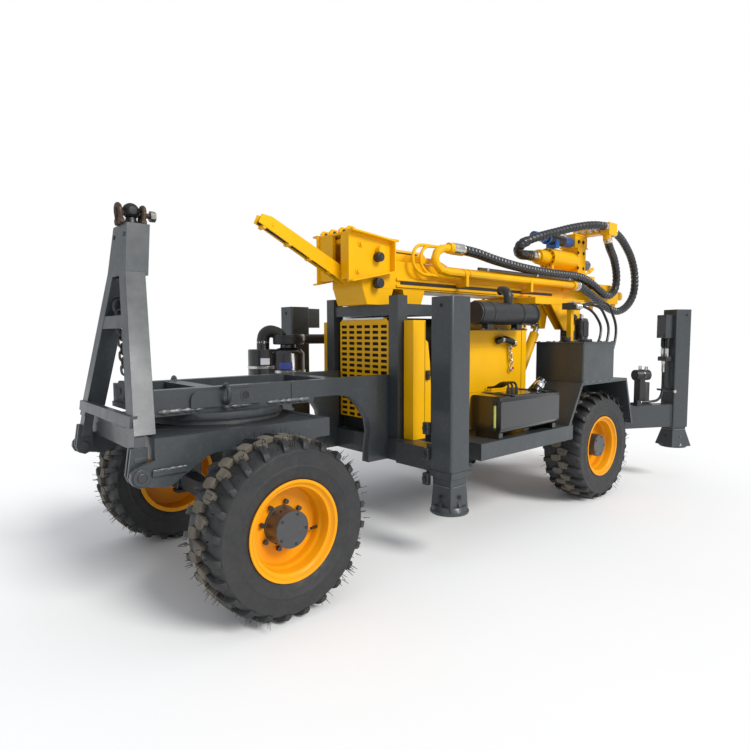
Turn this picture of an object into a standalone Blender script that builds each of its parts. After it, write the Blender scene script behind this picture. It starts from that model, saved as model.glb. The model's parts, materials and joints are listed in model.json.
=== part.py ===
"""Trailer-mounted water well drilling rig, solids only.

Metres, +Z up, +X towards the drawbar, +Y the near side of the photo.
Everything is drawn with X measured from the front axle and moved by SHIFT at
the end, so that the origin lies under the middle of the rig.
"""
import math

import bmesh
import bpy
import mathutils

# Where the drawing is moved to, so that the origin lies under the rig's middle.
SHIFT = 1.93
DROP = 0.0105

# Clearances: flat faces that rest, pins in bores, pieces that slide.
REST = 0.0003
RUN = 0.0006
SLIDE = 0.0005

# Wheels.
AXLE_Z = 0.4155
TYRE_R = 0.405
TYRE_HALF = 0.146
LUGS = 18
LUG_DEPTH = 0.020
RIM_R = 0.2092
RIM_HALF = 0.137
FLANGE_R = 0.2268
STUB_R = 0.035
STUB_GAP = 0.0012
HUB_FACE = 0.004
TRACK = 0.655
REAR_AXLE = -2.76
BEAM_HALF = 0.045
SEAT_Y = 0.370

# Frame rails, deck and cross members.
RAIL_IN = 0.260
RAIL_OUT = 0.360
RAIL_LOW = 0.500
RAIL_TOP = 0.631
BEAM_SEAT = RAIL_TOP - 0.001
RAIL_REAR = -3.350
NOSE_X = -1.000
DECK_OUT = 0.800
DECK_FRONT = -1.270
DECK_REAR = -2.296
DECK_DEPTH = 0.100
CROSS_HALF = 0.045
MIDDLE_CROSS = -1.640
REAR_CROSS = -3.130
NOSE_BACK = -1.120
NOSE_HALF = 0.410

# Gooseneck and turntable.
NECK_IN = 0.226
NECK_OUT = 0.286
NECK_LOW = 0.925
NECK_TOP = 1.020
NECK_FRONT = 0.420
NECK_CROSS = (0.130, -0.630)
RING_IN = 0.240
RING_OUT = 0.372
RING_LOW = 0.8693
PLATE_Z = 0.900

# Dolly and drawbar.
DOLLY_OUT = 0.479
DOLLY_LOW = 0.745
DOLLY_TOP = 0.840
DOLLY_FRONT = 0.485
DOLLY_REAR = -0.415
DOLLY_WALL = 0.044
DRAW_PIN = (0.541, 0.685)
DRAW_PIN_R = 0.020
DRAW_TOP = 1.787
HEAD_LOW = 1.545
KNEE_Z = 0.850
LEAN = 0.112
LEG_WIDE = 0.090
LEG_DEEP = 0.090
EYE_R = 0.050

# Portal that the mast lies on.
PORTAL_X = -1.020
POST = 0.080
POST_OUT = 0.359
POST_TOP = 1.505
BEAM_LOW = 1.385
BEAM_TOP = 1.454
REAR_POST_X = -1.600

# Mast.
MAST_HALF = 0.150
MAST_LOW = 1.560
MAST_TOP = 1.740
MAST_FRONT = -0.915
MAST_REAR = -4.280
MAST_WALL = 0.050
PIVOT = (-3.150, 1.390)
PIVOT_R = 0.030
PIVOT_ROUND = 0.090
POST_IN = 0.235
POST_WIDE = 0.060
LIFT_BASE = (-2.450, 0.700)
LIFT_EYE = (-2.850, 1.350)
LIFT_Y = 0.150
BARREL_R = 0.038
BARREL_SHORT = 0.093
ROD_R = 0.022
HOSE_R = 0.036
HOSE_Y = 0.215
JIB_PIN = (-0.860, 1.620)
JIB_LENGTH = 0.655
JIB_TILT = 25.5
JIB_Y = 0.030
JIB_GAP = 0.040
PIPE_R = 0.028
PIPE_Y = 0.222
PIPE_Z = 1.690
PIPE_END = -3.360
BEND_Z = 1.855
BEND_END = -1.775
BLOCK_FRONT = -3.675
BLOCK_REAR = -3.875
BLOCK_RISE = 0.503
BLOCK_Z = MAST_TOP + BLOCK_RISE
PORT_Z = BLOCK_Z - 0.038
BLOCK_Y = 0.288
ELBOW = (-3.768, BLOCK_Y, BLOCK_Z - 0.135)
ELBOW_BACK = (-3.745, BLOCK_Y, BLOCK_Z - 0.093)
SWIVEL_Z = MAST_TOP + 0.205
THIN = 0.011
GOOSE = (-2.780, 0.080, 2.042)
GOOSE_BACK = (-2.728, 0.065, 2.018)

# Jack legs and outriggers.
LEG = 0.156
LEG_WALL = 0.012
LEG_TOP = 1.472
LEG_BOTTOM = 0.486
LEG_X = -1.026
LEG_Y = 0.772
FOOT_Z = 0.280
FOOT_R = 0.108
ARM_PIVOT = (-3.300, 0.580)
ARM_PIN_R = 0.020
ARM_ANGLE = 27.0
ARM_REACH = 0.645
ARM_LOW = 0.462
ARM_HIGH = 0.656
ARM_HALF = 0.060
EAR = 0.020
STUB_X = 0.113
STUB_LOW = 0.930
PUMP_PORT = (-0.245, 0.056, ARM_HIGH + REST + 0.030)

# Body panels and tanks.
PANEL_Y = 0.450
PANEL = 0.018
PANEL_TOP = 1.357
ENGINE_FRONT = -1.690
ENGINE_REAR = -2.240
ENGINE_TOP = 1.335
GRILLE_X = -1.066
GRILLE_HALF = 0.245
GRILLE_LOW = 0.715
GRILLE_TOP = 1.372
GRILLE_COLUMNS = 6
GRILLE_ROWS = 9
SLOT = (0.056, 0.036)
FENDER_IN = 0.4515
FENDER_TOP = 0.918
FENDER_WALL = 0.020
OIL = (-2.883, -2.420, 0.410, 1.198)
VALVE_X = -2.925
VALVE_Y = 0.410
VALVE_Z = 1.488
VALVE_STEP = 0.035
TANK_PORT_Y = 0.500
TANK_PORT_Z = 1.100
TANK = (-2.108, -1.456, 0.562, 0.664, 0.889)
MUFFLER = (-2.120, -1.480, 0.565, 1.402, 0.073)

GREY = (0.055, 0.065, 0.072, 1.0)
YELLOW = (0.95, 0.50, 0.0, 1.0)
AMBER = (0.90, 0.36, 0.01, 1.0)
BLACK = (0.010, 0.010, 0.011, 1.0)
RUBBER = (0.020, 0.020, 0.020, 1.0)
BLUE = (0.02, 0.12, 0.45, 1.0)
STEEL = (0.45, 0.44, 0.42, 1.0)


def paint(name, colour, roughness, metallic):
    material = bpy.data.materials.get(name)
    if material is None:
        material = bpy.data.materials.new(name)
        material.use_nodes = True
        shader = material.node_tree.nodes["Principled BSDF"]
        shader.inputs["Base Color"].default_value = colour
        shader.inputs["Roughness"].default_value = roughness
        shader.inputs["Metallic"].default_value = metallic
    return material


PAINTS = {
    "grey": ("grey paint", GREY, 0.45, 0.0),
    "yellow": ("yellow paint", YELLOW, 0.35, 0.0),
    "amber": ("rim paint", AMBER, 0.35, 0.0),
    "black": ("black paint", BLACK, 0.25, 0.0),
    "rubber": ("tyre rubber", RUBBER, 0.90, 0.0),
    "blue": ("blue paint", BLUE, 0.40, 0.0),
    "steel": ("bare steel", STEEL, 0.35, 1.0),
}


def mesh_object(name, verts, faces):
    mesh = bpy.data.meshes.new(name)
    mesh.from_pydata([tuple(v) for v in verts], [], [tuple(f) for f in faces])
    work = bmesh.new()
    work.from_mesh(mesh)
    bmesh.ops.remove_doubles(work, verts=work.verts, dist=1e-6)
    bmesh.ops.recalc_face_normals(work, faces=work.faces)
    if work.calc_volume(signed=True) < 0:
        bmesh.ops.reverse_faces(work, faces=work.faces)
    work.to_mesh(mesh)
    work.free()
    obj = bpy.data.objects.new(name, mesh)
    bpy.context.scene.collection.objects.link(obj)
    return obj


def box(x0, x1, y0, y1, z0, z1):
    verts = [(x, y, z) for x in (x0, x1) for y in (y0, y1) for z in (z0, z1)]
    faces = [(0, 1, 3, 2), (4, 6, 7, 5), (0, 4, 5, 1), (2, 3, 7, 6), (0, 2, 6, 4), (1, 5, 7, 3)]
    return mesh_object("shape", verts, faces)


def prism(points, axis, low, high):
    """A polygon of (u, v) pairs, drawn along one axis: x (y, z), y (x, z) or z (x, y)."""
    place = {
        "x": lambda u, v, w: (w, u, v),
        "y": lambda u, v, w: (u, w, v),
        "z": lambda u, v, w: (u, v, w),
    }[axis]
    count = len(points)
    verts = [place(u, v, low) for u, v in points] + [place(u, v, high) for u, v in points]
    faces = [tuple(range(count)), tuple(range(2 * count - 1, count - 1, -1))]
    for i in range(count):
        j = (i + 1) % count
        faces.append((i, j, count + j, count + i))
    return mesh_object("shape", verts, faces)


def frame_of(start, end):
    direction = [end[i] - start[i] for i in range(3)]
    length = math.sqrt(sum(d * d for d in direction))
    w = [d / length for d in direction]
    helper = (0.0, 0.0, 1.0) if abs(w[2]) < 0.9 else (1.0, 0.0, 0.0)
    u = [
        helper[1] * w[2] - helper[2] * w[1],
        helper[2] * w[0] - helper[0] * w[2],
        helper[0] * w[1] - helper[1] * w[0],
    ]
    size = math.sqrt(sum(d * d for d in u))
    u = [d / size for d in u]
    v = [w[1] * u[2] - w[2] * u[1], w[2] * u[0] - w[0] * u[2], w[0] * u[1] - w[1] * u[0]]
    return u, v, w, length


def rod(start, end, radius, sides=16, end_radius=None):
    u, v, w, length = frame_of(start, end)
    verts = []
    for base, r in ((start, radius), (end, radius if end_radius is None else end_radius)):
        for i in range(sides):
            a = 2 * math.pi * i / sides
            c, s = r * math.cos(a), r * math.sin(a)
            verts.append([base[k] + c * u[k] + s * v[k] for k in range(3)])
    faces = [tuple(range(sides)), tuple(range(2 * sides - 1, sides - 1, -1))]
    for i in range(sides):
        j = (i + 1) % sides
        faces.append((i, j, sides + j, sides + i))
    return mesh_object("shape", verts, faces)


def pipe(points, radius, sides=10):
    """A round bar bent through a list of points."""
    verts = []
    faces = []
    count = len(points)
    last_u = None
    for k, point in enumerate(points):
        before = points[max(k - 1, 0)]
        after = points[min(k + 1, count - 1)]
        u, v, w, _ = frame_of(before, after)
        if last_u is not None:
            dot = sum(last_u[i] * w[i] for i in range(3))
            u = [last_u[i] - dot * w[i] for i in range(3)]
            size = math.sqrt(sum(d * d for d in u))
            u = [d / size for d in u]
            v = [w[1] * u[2] - w[2] * u[1], w[2] * u[0] - w[0] * u[2], w[0] * u[1] - w[1] * u[0]]
        last_u = u
        for i in range(sides):
            a = 2 * math.pi * i / sides
            c, s = radius * math.cos(a), radius * math.sin(a)
            verts.append([point[n] + c * u[n] + s * v[n] for n in range(3)])
    faces.append(tuple(range(sides)))
    faces.append(tuple(range(count * sides - 1, (count - 1) * sides - 1, -1)))
    for k in range(count - 1):
        for i in range(sides):
            j = (i + 1) % sides
            low, high = k * sides, (k + 1) * sides
            faces.append((low + i, low + j, high + j, high + i))
    return mesh_object("shape", verts, faces)


def lathe(profile, centre, axis="y", sides=32, flip=1.0):
    """A closed (radius, along) loop turned about an axis through centre."""
    verts = []
    faces = []
    count = len(profile)
    for i in range(sides):
        a = 2 * math.pi * i / sides
        c, s = math.cos(a), math.sin(a)
        for r, h in profile:
            if axis == "y":
                verts.append((centre[0] + r * c, centre[1] + flip * h, centre[2] + r * s))
            elif axis == "x":
                verts.append((centre[0] + flip * h, centre[1] + r * c, centre[2] + r * s))
            else:
                verts.append((centre[0] + r * c, centre[1] + r * s, centre[2] + flip * h))
    for i in range(sides):
        n = (i + 1) % sides
        for k in range(count):
            m = (k + 1) % count
            if profile[k][0] < 1e-9 and profile[m][0] < 1e-9:
                continue
            faces.append((i * count + k, i * count + m, n * count + m, n * count + k))
    return mesh_object("shape", verts, [tuple(dict.fromkeys(f)) for f in faces])


def turned(obj, centre, degrees, axis="z"):
    """Turn a shape about an axis through centre, counter-clockwise."""
    a = math.radians(degrees)
    c, s = math.cos(a), math.sin(a)
    for vert in obj.data.vertices:
        x, y, z = vert.co
        if axis == "z":
            dx, dy = x - centre[0], y - centre[1]
            vert.co = (centre[0] + c * dx - s * dy, centre[1] + s * dx + c * dy, z)
        else:
            dx, dz = x - centre[0], z - centre[1]
            vert.co = (centre[0] + c * dx + s * dz, y, centre[1] - s * dx + c * dz)
    return obj


def mirrored(obj):
    for vert in obj.data.vertices:
        vert.co.y = -vert.co.y
    obj.data.flip_normals()
    return obj


def combine(target, other, operation):
    modifier = target.modifiers.new("join", "BOOLEAN")
    modifier.operation = operation
    modifier.solver = "EXACT"
    modifier.object = other
    bpy.context.view_layer.update()
    graph = bpy.context.evaluated_depsgraph_get()
    mesh = bpy.data.meshes.new_from_object(target.evaluated_get(graph))
    target.modifiers.clear()
    old = target.data
    target.data = mesh
    bpy.data.meshes.remove(old)
    spent = other.data
    bpy.data.objects.remove(other)
    bpy.data.meshes.remove(spent)
    return target


def piece(name, paint_name, shapes, cuts=(), origin=(0.0, 0.0, 0.0)):
    """One named solid: the union of its shapes, less its cuts, with its origin on its joint's axis."""
    body = shapes[0]
    for shape in shapes[1:]:
        combine(body, shape, "UNION")
    for cut in cuts:
        combine(body, cut, "DIFFERENCE")
    body.name = name
    body.data.name = name
    work = bmesh.new()
    work.from_mesh(body.data)
    bmesh.ops.remove_doubles(work, verts=work.verts, dist=1e-6)
    bmesh.ops.dissolve_limit(work, angle_limit=0.0005, verts=work.verts, edges=work.edges)
    bmesh.ops.triangulate(work, faces=work.faces)
    bmesh.ops.translate(work, verts=work.verts, vec=-mathutils.Vector(origin))
    work.to_mesh(body.data)
    work.free()
    body.location = mathutils.Vector(origin) + mathutils.Vector((SHIFT, 0.0, -DROP))
    body.data.shade_smooth()
    body.data.set_sharp_from_angle(angle=math.radians(32.0))
    body.data.materials.clear()
    body.data.materials.append(paint(*PAINTS[paint_name]))
    return body


def span(side, a, b):
    """A pair of Y values on one side of the rig, low one first."""
    return sorted((side * a, side * b))


def arc(centre, radius, begin, end, steps):
    points = []
    for k in range(steps + 1):
        t = math.radians(begin + (end - begin) * k / steps)
        points.append((centre[0] + radius * math.cos(t), centre[1] + radius * math.sin(t)))
    return points


SIDES = ((1, "near"), (-1, "far"))


def rounded(x0, x1, y0, y1, z0, z1, radius, axis="x", steps=3):
    """A box whose four edges along one axis are rounded."""
    if axis == "x":
        (a0, a1), (b0, b1), (low, high) = (y0, y1), (z0, z1), (x0, x1)
    elif axis == "y":
        (a0, a1), (b0, b1), (low, high) = (x0, x1), (z0, z1), (y0, y1)
    else:
        (a0, a1), (b0, b1), (low, high) = (x0, x1), (y0, y1), (z0, z1)
    points = []
    corners = ((a1, b1, 0), (a0, b1, 90), (a0, b0, 180), (a1, b0, 270))
    for a, b, begin in corners:
        ca = a - radius if a == a1 else a + radius
        cb = b - radius if b == b1 else b + radius
        for k in range(steps + 1):
            t = math.radians(begin + 90.0 * k / steps)
            points.append((ca + radius * math.cos(t), cb + radius * math.sin(t)))
    return prism(points, axis, low, high)


WHEELS = (
    ("front_near", 0.0, 1.0),
    ("front_far", 0.0, -1.0),
    ("rear_near", REAR_AXLE, 1.0),
    ("rear_far", REAR_AXLE, -1.0),
)


def rim_profile():
    """Half a rim seen in section: hub bore, disc, barrel, both flanges, dish and hub cap."""
    wall = 0.006
    lip = RIM_HALF - 0.0095
    return (
        (STUB_R + STUB_GAP, -0.060), (0.065, -0.060), (0.065, 0.000), (0.150, 0.004),
        (RIM_R - wall, -0.020), (RIM_R - wall, -RIM_HALF), (FLANGE_R, -RIM_HALF), (FLANGE_R, -lip),
        (RIM_R, -lip), (RIM_R, lip), (FLANGE_R, lip), (FLANGE_R, RIM_HALF),
        (RIM_R - wall, RIM_HALF), (RIM_R - wall, 0.040), (0.150, 0.024), (0.070, 0.030),
        (0.070, 0.082), (0.0, 0.082), (0.0, -HUB_FACE), (STUB_R + STUB_GAP, -HUB_FACE),
    )


def tyre(name, centre, side):
    """A tyre with two rows of slanting lugs, a half step apart, and a plain band between them."""
    steps = 2 * LUGS
    slant = math.pi / steps
    low = TYRE_R - LUG_DEPTH
    bore = RIM_R + 0.001
    bead = RIM_HALF - 0.020
    flank = ((bore, bead), (0.305, TYRE_HALF))
    edge = (0.360, TYRE_HALF - 0.003, 1.8)
    band = 0.012
    tread = TYRE_HALF - 0.028
    fall = 0.009
    verts = []
    faces = []
    index = {}

    def point(i, r, y, shift=0.0):
        key = (i % steps, round(r, 6), round(y, 6))
        if key not in index:
            a = 2 * math.pi * (i % steps) / steps + shift * slant
            index[key] = len(verts)
            verts.append((centre[0] + r * math.cos(a), centre[1] + side * y, centre[2] + r * math.sin(a)))
        return index[key]

    def strip(i, first, second):
        faces.append([point(i, *first), point(i + 1, *first), point(i + 1, *second), point(i, *second)])

    for i in range(steps):
        for half in (-1, 1):
            raised = (i + (half > 0)) % 2 == 1
            top = TYRE_R if raised else low
            ring = [(r, half * y, 0.0) for r, y in flank]
            rim_edge = (edge[0], half * edge[1], edge[2])
            inner = (top, half * band, 0.0)
            outer = (top - fall, half * tread, 1.6)
            foot_in = (low, half * band, 0.0)
            foot_out = (low - fall, half * tread, 1.6)
            strip(i, ring[0], ring[1])
            strip(i, ring[1], rim_edge)
            strip(i, inner, outer)
            strip(i, outer, rim_edge)
            if raised:
                strip(i, foot_in, inner)
                for end in (i, i + 1):
                    faces.append([point(end, *foot_in), point(end, *foot_out), point(end, *outer), point(end, *inner)])
                    faces.append([point(end, *foot_out), point(end, *outer), point(end, *rim_edge)])
        strip(i, (low, -band, 0.0), (low, band, 0.0))
        strip(i, (bore, -bead, 0.0), (bore, bead, 0.0))
    return piece(name, "rubber", [mesh_object("shape", verts, faces)], origin=centre)


def build_wheels():
    for label, x, side in WHEELS:
        centre = (x, side * TRACK, AXLE_Z)
        tyre("tyre_" + label, centre, side)
        piece("rim_" + label, "amber", [lathe(rim_profile(), centre, sides=16, flip=side)], origin=centre)


def axle(name, x, top):
    reach = TRACK - HUB_FACE - SLIDE
    shapes = [box(x - BEAM_HALF, x + BEAM_HALF, -0.47, 0.47, AXLE_Z - BEAM_HALF, AXLE_Z + BEAM_HALF)]
    shapes.append(rod((x, -reach, AXLE_Z), (x, reach, AXLE_Z), STUB_R, 16))
    for side, _ in SIDES:
        shapes.append(rod((x, side * 0.460, AXLE_Z), (x, side * 0.505, AXLE_Z), 0.075, 16))
        y0, y1 = span(side, SEAT_Y - 0.03, SEAT_Y + 0.03)
        seat = [(x - 0.10, top), (x + 0.10, top), (x + 0.07, AXLE_Z - 0.02), (x - 0.07, AXLE_Z - 0.02)]
        shapes.append(prism(seat, "y", y0, y1))
    return piece(name, "grey", shapes)


def build_dolly():
    shapes = []
    cuts = []
    for side, _ in SIDES:
        shapes.append(box(DOLLY_REAR, DOLLY_FRONT, *span(side, DOLLY_OUT - DOLLY_WALL, DOLLY_OUT), DOLLY_LOW, DOLLY_TOP))
        lug = [(0.20, 0.750), (0.254, 0.734), (0.426, 0.626)]
        lug += arc(DRAW_PIN, 0.045, -110, 60, 5)
        lug.append((DOLLY_FRONT - 0.001, 0.750))
        shapes.append(prism(lug, "y", *span(side, DOLLY_OUT - 0.024, DOLLY_OUT - 0.0005)))
        cuts.append(rod((DRAW_PIN[0], side * (DOLLY_OUT - 0.04), DRAW_PIN[1]),
                        (DRAW_PIN[0], side * (DOLLY_OUT + 0.02), DRAW_PIN[1]), DRAW_PIN_R + RUN, 16))
    inside = DOLLY_OUT - 0.029
    for x0, x1 in ((DOLLY_FRONT - 0.045, DOLLY_FRONT - 0.0005), (DOLLY_REAR + 0.0005, DOLLY_REAR + 0.05), (-0.03, 0.03)):
        shapes.append(box(x0, x1, -inside, inside, DOLLY_LOW + 0.0002, DOLLY_TOP - 0.002))
    shapes.append(box(DOLLY_REAR + 0.035, DOLLY_FRONT - 0.025, -inside + 0.01, inside - 0.01, DOLLY_TOP - 0.014, DOLLY_TOP - 0.004))
    wear = RING_LOW - REST
    ring = ((RING_IN + 0.01, DOLLY_TOP - 0.008), (RING_OUT - 0.017, DOLLY_TOP - 0.008), (RING_OUT - 0.017, wear), (RING_IN + 0.01, wear))
    shapes.append(lathe(ring, (0.0, 0.0, 0.0), "z", 32))
    piece("dolly_frame", "grey", shapes, cuts)
    axle("front_axle", 0.0, DOLLY_LOW - REST)
    axle("rear_axle", REAR_AXLE, RAIL_LOW - REST)


def lean(z):
    """The X of the drawbar's front face, which leans back as it rises."""
    return 0.562 - (z - 0.745) * LEAN


def leaning(obj):
    """Slide a shape drawn upright at x = 0 onto the leaning face of the drawbar."""
    for vert in obj.data.vertices:
        vert.co.x += lean(vert.co.z)
    return obj


def leg_face(side, inner, width, top, low):
    """The four corners of a slanting leg seen from the front: inner holds its inner edge, high and low."""
    return [(side * inner[0], top), (side * (inner[0] + width), top),
            (side * (inner[1] + width), low), (side * inner[1], low)]


def build_drawbar():
    head = [(-0.10, DRAW_TOP), (0.10, DRAW_TOP), (0.135, HEAD_LOW), (-0.135, HEAD_LOW)]
    shapes = [leaning(prism(head, "x", -LEG_DEEP - 0.015, 0.0))]
    knee_in = 0.338
    pin_x, pin_z = DRAW_PIN
    for side, _ in SIDES:
        face = leg_face(side, (0.045, knee_in), LEG_WIDE, HEAD_LOW + 0.015, KNEE_Z)
        shapes.append(leaning(prism(face, "x", -LEG_DEEP, 0.0)))
        face = leg_face(side, (knee_in + 0.004, knee_in + 0.034), LEG_WIDE - 0.018, KNEE_Z + 0.012, 0.740)
        shapes.append(leaning(prism(face, "x", -0.050, -0.005)))
        for y in (0.398, 0.431):
            ear = [(0.500, 0.80), (0.499, 0.70)] + arc(DRAW_PIN, 0.042, 180, 360, 4) + [(0.566, 0.80)]
            shapes.append(prism(ear, "y", *span(side, y - 0.008, y + 0.008)))
        shapes.append(rod((pin_x, side * 0.380, pin_z), (pin_x, side * (DOLLY_OUT + 0.013), pin_z), DRAW_PIN_R, 16))
    shapes.append(leaning(box(-0.065, -0.002, -0.21, 0.21, 1.300, 1.360)))
    shapes.append(leaning(box(-0.018, 0.012, -0.40, 0.40, 0.880, 0.930)))
    hinge = (pin_x, 0.0, pin_z)
    piece("drawbar", "grey", shapes, origin=hinge)
    centre = (lean(DRAW_TOP) - 0.052, 0.0, DRAW_TOP + EYE_R + 0.025)
    eye = ((EYE_R - 0.018, -0.018), (EYE_R + 0.016, -0.018), (EYE_R + 0.016, 0.018), (EYE_R - 0.018, 0.018))
    shapes = [lathe(eye, centre, "y", 20)]
    shapes.append(box(centre[0] - 0.030, centre[0] + 0.030, -0.024, 0.024, DRAW_TOP + REST, DRAW_TOP + 0.022))
    piece("tow_eye", "steel", shapes, origin=hinge)


def build_neck():
    foot_x = PORTAL_X + REST
    gusset = [
        (-0.600, NECK_TOP + 0.0005), (foot_x, NECK_TOP + 0.0005), (foot_x, RAIL_TOP + REST),
        (NOSE_X + REST, RAIL_TOP + REST), (NOSE_X + REST, RAIL_LOW), (-0.846, RAIL_LOW), (-0.850, 0.580),
        (-0.866, 0.680), (-0.850, 0.760), (-0.800, 0.832), (-0.750, 0.880), (-0.697, 0.912),
        (-0.600, NECK_LOW + 0.0005),
    ]
    shapes = []
    for side, _ in SIDES:
        shapes.append(box(-0.62, NECK_FRONT, *span(side, NECK_IN, NECK_OUT), NECK_LOW, NECK_TOP))
        shapes.append(prism(gusset, "y", *span(side, NECK_IN, NECK_OUT)))
        ear = [(0.250, NECK_LOW + 0.001), (-0.120, NECK_LOW + 0.001)]
        ear += arc((-0.080, NECK_TOP - 0.055), 0.040, 180, 90, 3) + arc((0.210, NECK_TOP - 0.055), 0.040, 90, 0, 3)
        shapes.append(prism(ear, "y", *span(side, NECK_OUT - 0.001, NECK_OUT + 0.016)))
    shapes.append(box(NECK_FRONT - 0.065, NECK_FRONT - 0.0005, -0.24, 0.24, NECK_LOW + 0.001, NECK_TOP - 0.012))
    shapes.append(box(-0.450, NECK_FRONT + 0.007, -NECK_OUT - 0.0005, NECK_OUT + 0.0005, PLATE_Z, NECK_LOW + 0.0015))
    for x in NECK_CROSS:
        shapes.append(box(x - CROSS_HALF, x + CROSS_HALF, -0.24, 0.24, NECK_LOW + 0.005, NECK_TOP - 0.004))
    ring = ((RING_IN, RING_LOW), (RING_OUT, RING_LOW), (RING_OUT, PLATE_Z + 0.001), (RING_IN, PLATE_Z + 0.001))
    shapes.append(lathe(ring, (0.0, 0.0, 0.0), "z", 32))
    piece("neck_frame", "grey", shapes)


def build_main_frame():
    shapes = []
    px, py = ARM_PIVOT
    for side, _ in SIDES:
        shapes.append(box(RAIL_REAR, NOSE_X, *span(side, RAIL_IN, RAIL_OUT), RAIL_LOW, RAIL_TOP))
        deck_z = RAIL_TOP - 0.001
        deck = span(side, RAIL_OUT - 0.01, DECK_OUT)
        shapes.append(box(DECK_REAR, DECK_FRONT, *deck, deck_z - DECK_DEPTH, deck_z))
        nose_y = LEG_Y - LEG / 2 - 0.034
        shapes.append(box(-1.095, -0.965, *span(side, 0.400, nose_y), RAIL_LOW + 0.001, RAIL_TOP - 0.0015))
        for z0, z1 in ((ARM_LOW - 0.032, ARM_LOW - 0.012), (ARM_HIGH + 0.012, ARM_HIGH + 0.032)):
            shapes.append(box(px - 0.065, px + 0.055, *span(side, 0.340, py + ARM_HALF), z0, z1))
        web = span(side, 0.345, py - ARM_HALF - 0.025)
        shapes.append(box(px - 0.049, px + 0.054, *web, ARM_LOW - 0.030, ARM_HIGH + 0.030))
        shapes.append(rod((px, side * py, ARM_LOW - 0.026), (px, side * py, ARM_HIGH + 0.028), ARM_PIN_R, 16))
    shapes.append(box(NOSE_BACK, NOSE_X, -NOSE_HALF, NOSE_HALF, RAIL_LOW + 0.001, BEAM_SEAT))
    for x in (MIDDLE_CROSS, LIFT_BASE[0], REAR_CROSS):
        shapes.append(box(x - CROSS_HALF, x + CROSS_HALF, -0.27, 0.27, RAIL_LOW + 0.005, RAIL_TOP - 0.003))
    bx, bz = LIFT_BASE
    for side, _ in SIDES:
        for y in (LIFT_Y - 0.050, LIFT_Y + 0.042):
            shapes.append(box(bx - 0.040, bx + 0.040, *span(side, y, y + 0.008), RAIL_TOP - 0.011, bz + 0.035))
    piece("main_frame", "grey", shapes)
    for side, label in SIDES:
        foot_z = RAIL_TOP + REST
        post = [(PIVOT[0] - PIVOT_ROUND, foot_z), (PIVOT[0] + PIVOT_ROUND, foot_z)]
        post += arc(PIVOT, PIVOT_ROUND, 0, 180, 8)
        y0, y1 = span(side, POST_IN, POST_IN + POST_WIDE)
        inner, outer = side * (POST_IN - 0.01), side * (POST_IN + POST_WIDE + 0.01)
        bore = rod((PIVOT[0], inner, PIVOT[1]), (PIVOT[0], outer, PIVOT[1]), PIVOT_R + RUN, 16)
        across = span(side, POST_IN - 0.005, RAIL_OUT - 0.005)
        pad = box(PIVOT[0] - 0.094, PIVOT[0] + 0.12, *across, foot_z, foot_z + 0.016)
        piece("mast_post_" + label, "grey", [prism(post, "y", y0, y1), pad], [bore])


def build_portal():
    shapes = []
    foot_z = RAIL_TOP + REST
    for side, _ in SIDES:
        y0, y1 = span(side, POST_OUT - POST, POST_OUT)
        shapes.append(box(PORTAL_X - POST, PORTAL_X, y0, y1, foot_z, POST_TOP))
        y0, y1 = span(side, POST_OUT - POST + 0.002, POST_OUT - 0.002)
        shapes.append(box(REAR_POST_X - POST, REAR_POST_X, y0, y1, foot_z, BEAM_TOP + 0.0005))
        shapes.append(box(REAR_POST_X - 0.04, PORTAL_X - 0.04, y0, y1, BEAM_LOW, BEAM_TOP))
    reach = POST_OUT - POST + 0.011
    for x0, x1 in ((PORTAL_X - 0.069, PORTAL_X - 0.011), (-1.420, -1.350)):
        shapes.append(box(x0, x1, -reach, reach, BEAM_LOW + 0.001, BEAM_TOP - 0.001))
    piece("portal_frame", "grey", shapes)


def foot(name, x, y, half, angle=0.0, about=None):
    shapes = [box(x - half, x + half, y - half, y + half, FOOT_Z + 0.04, 1.100)]
    for axis in ("y", "x"):
        skirt = [(-0.052, FOOT_Z + 0.135), (0.052, FOOT_Z + 0.135), (0.088, FOOT_Z + 0.025), (-0.088, FOOT_Z + 0.025)]
        fin = prism(skirt, axis, -0.012, 0.012)
        for vert in fin.data.vertices:
            vert.co.x += x
            vert.co.y += y
        shapes.append(fin)
    shapes.append(rod((x, y, FOOT_Z), (x, y, FOOT_Z + 0.042), FOOT_R, 20, FOOT_R - 0.016))
    if about is not None:
        for shape in shapes:
            turned(shape, about, angle)
    return piece(name, "grey", shapes, origin=(x, y, FOOT_Z) if about is None else (*about, FOOT_Z))


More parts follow.
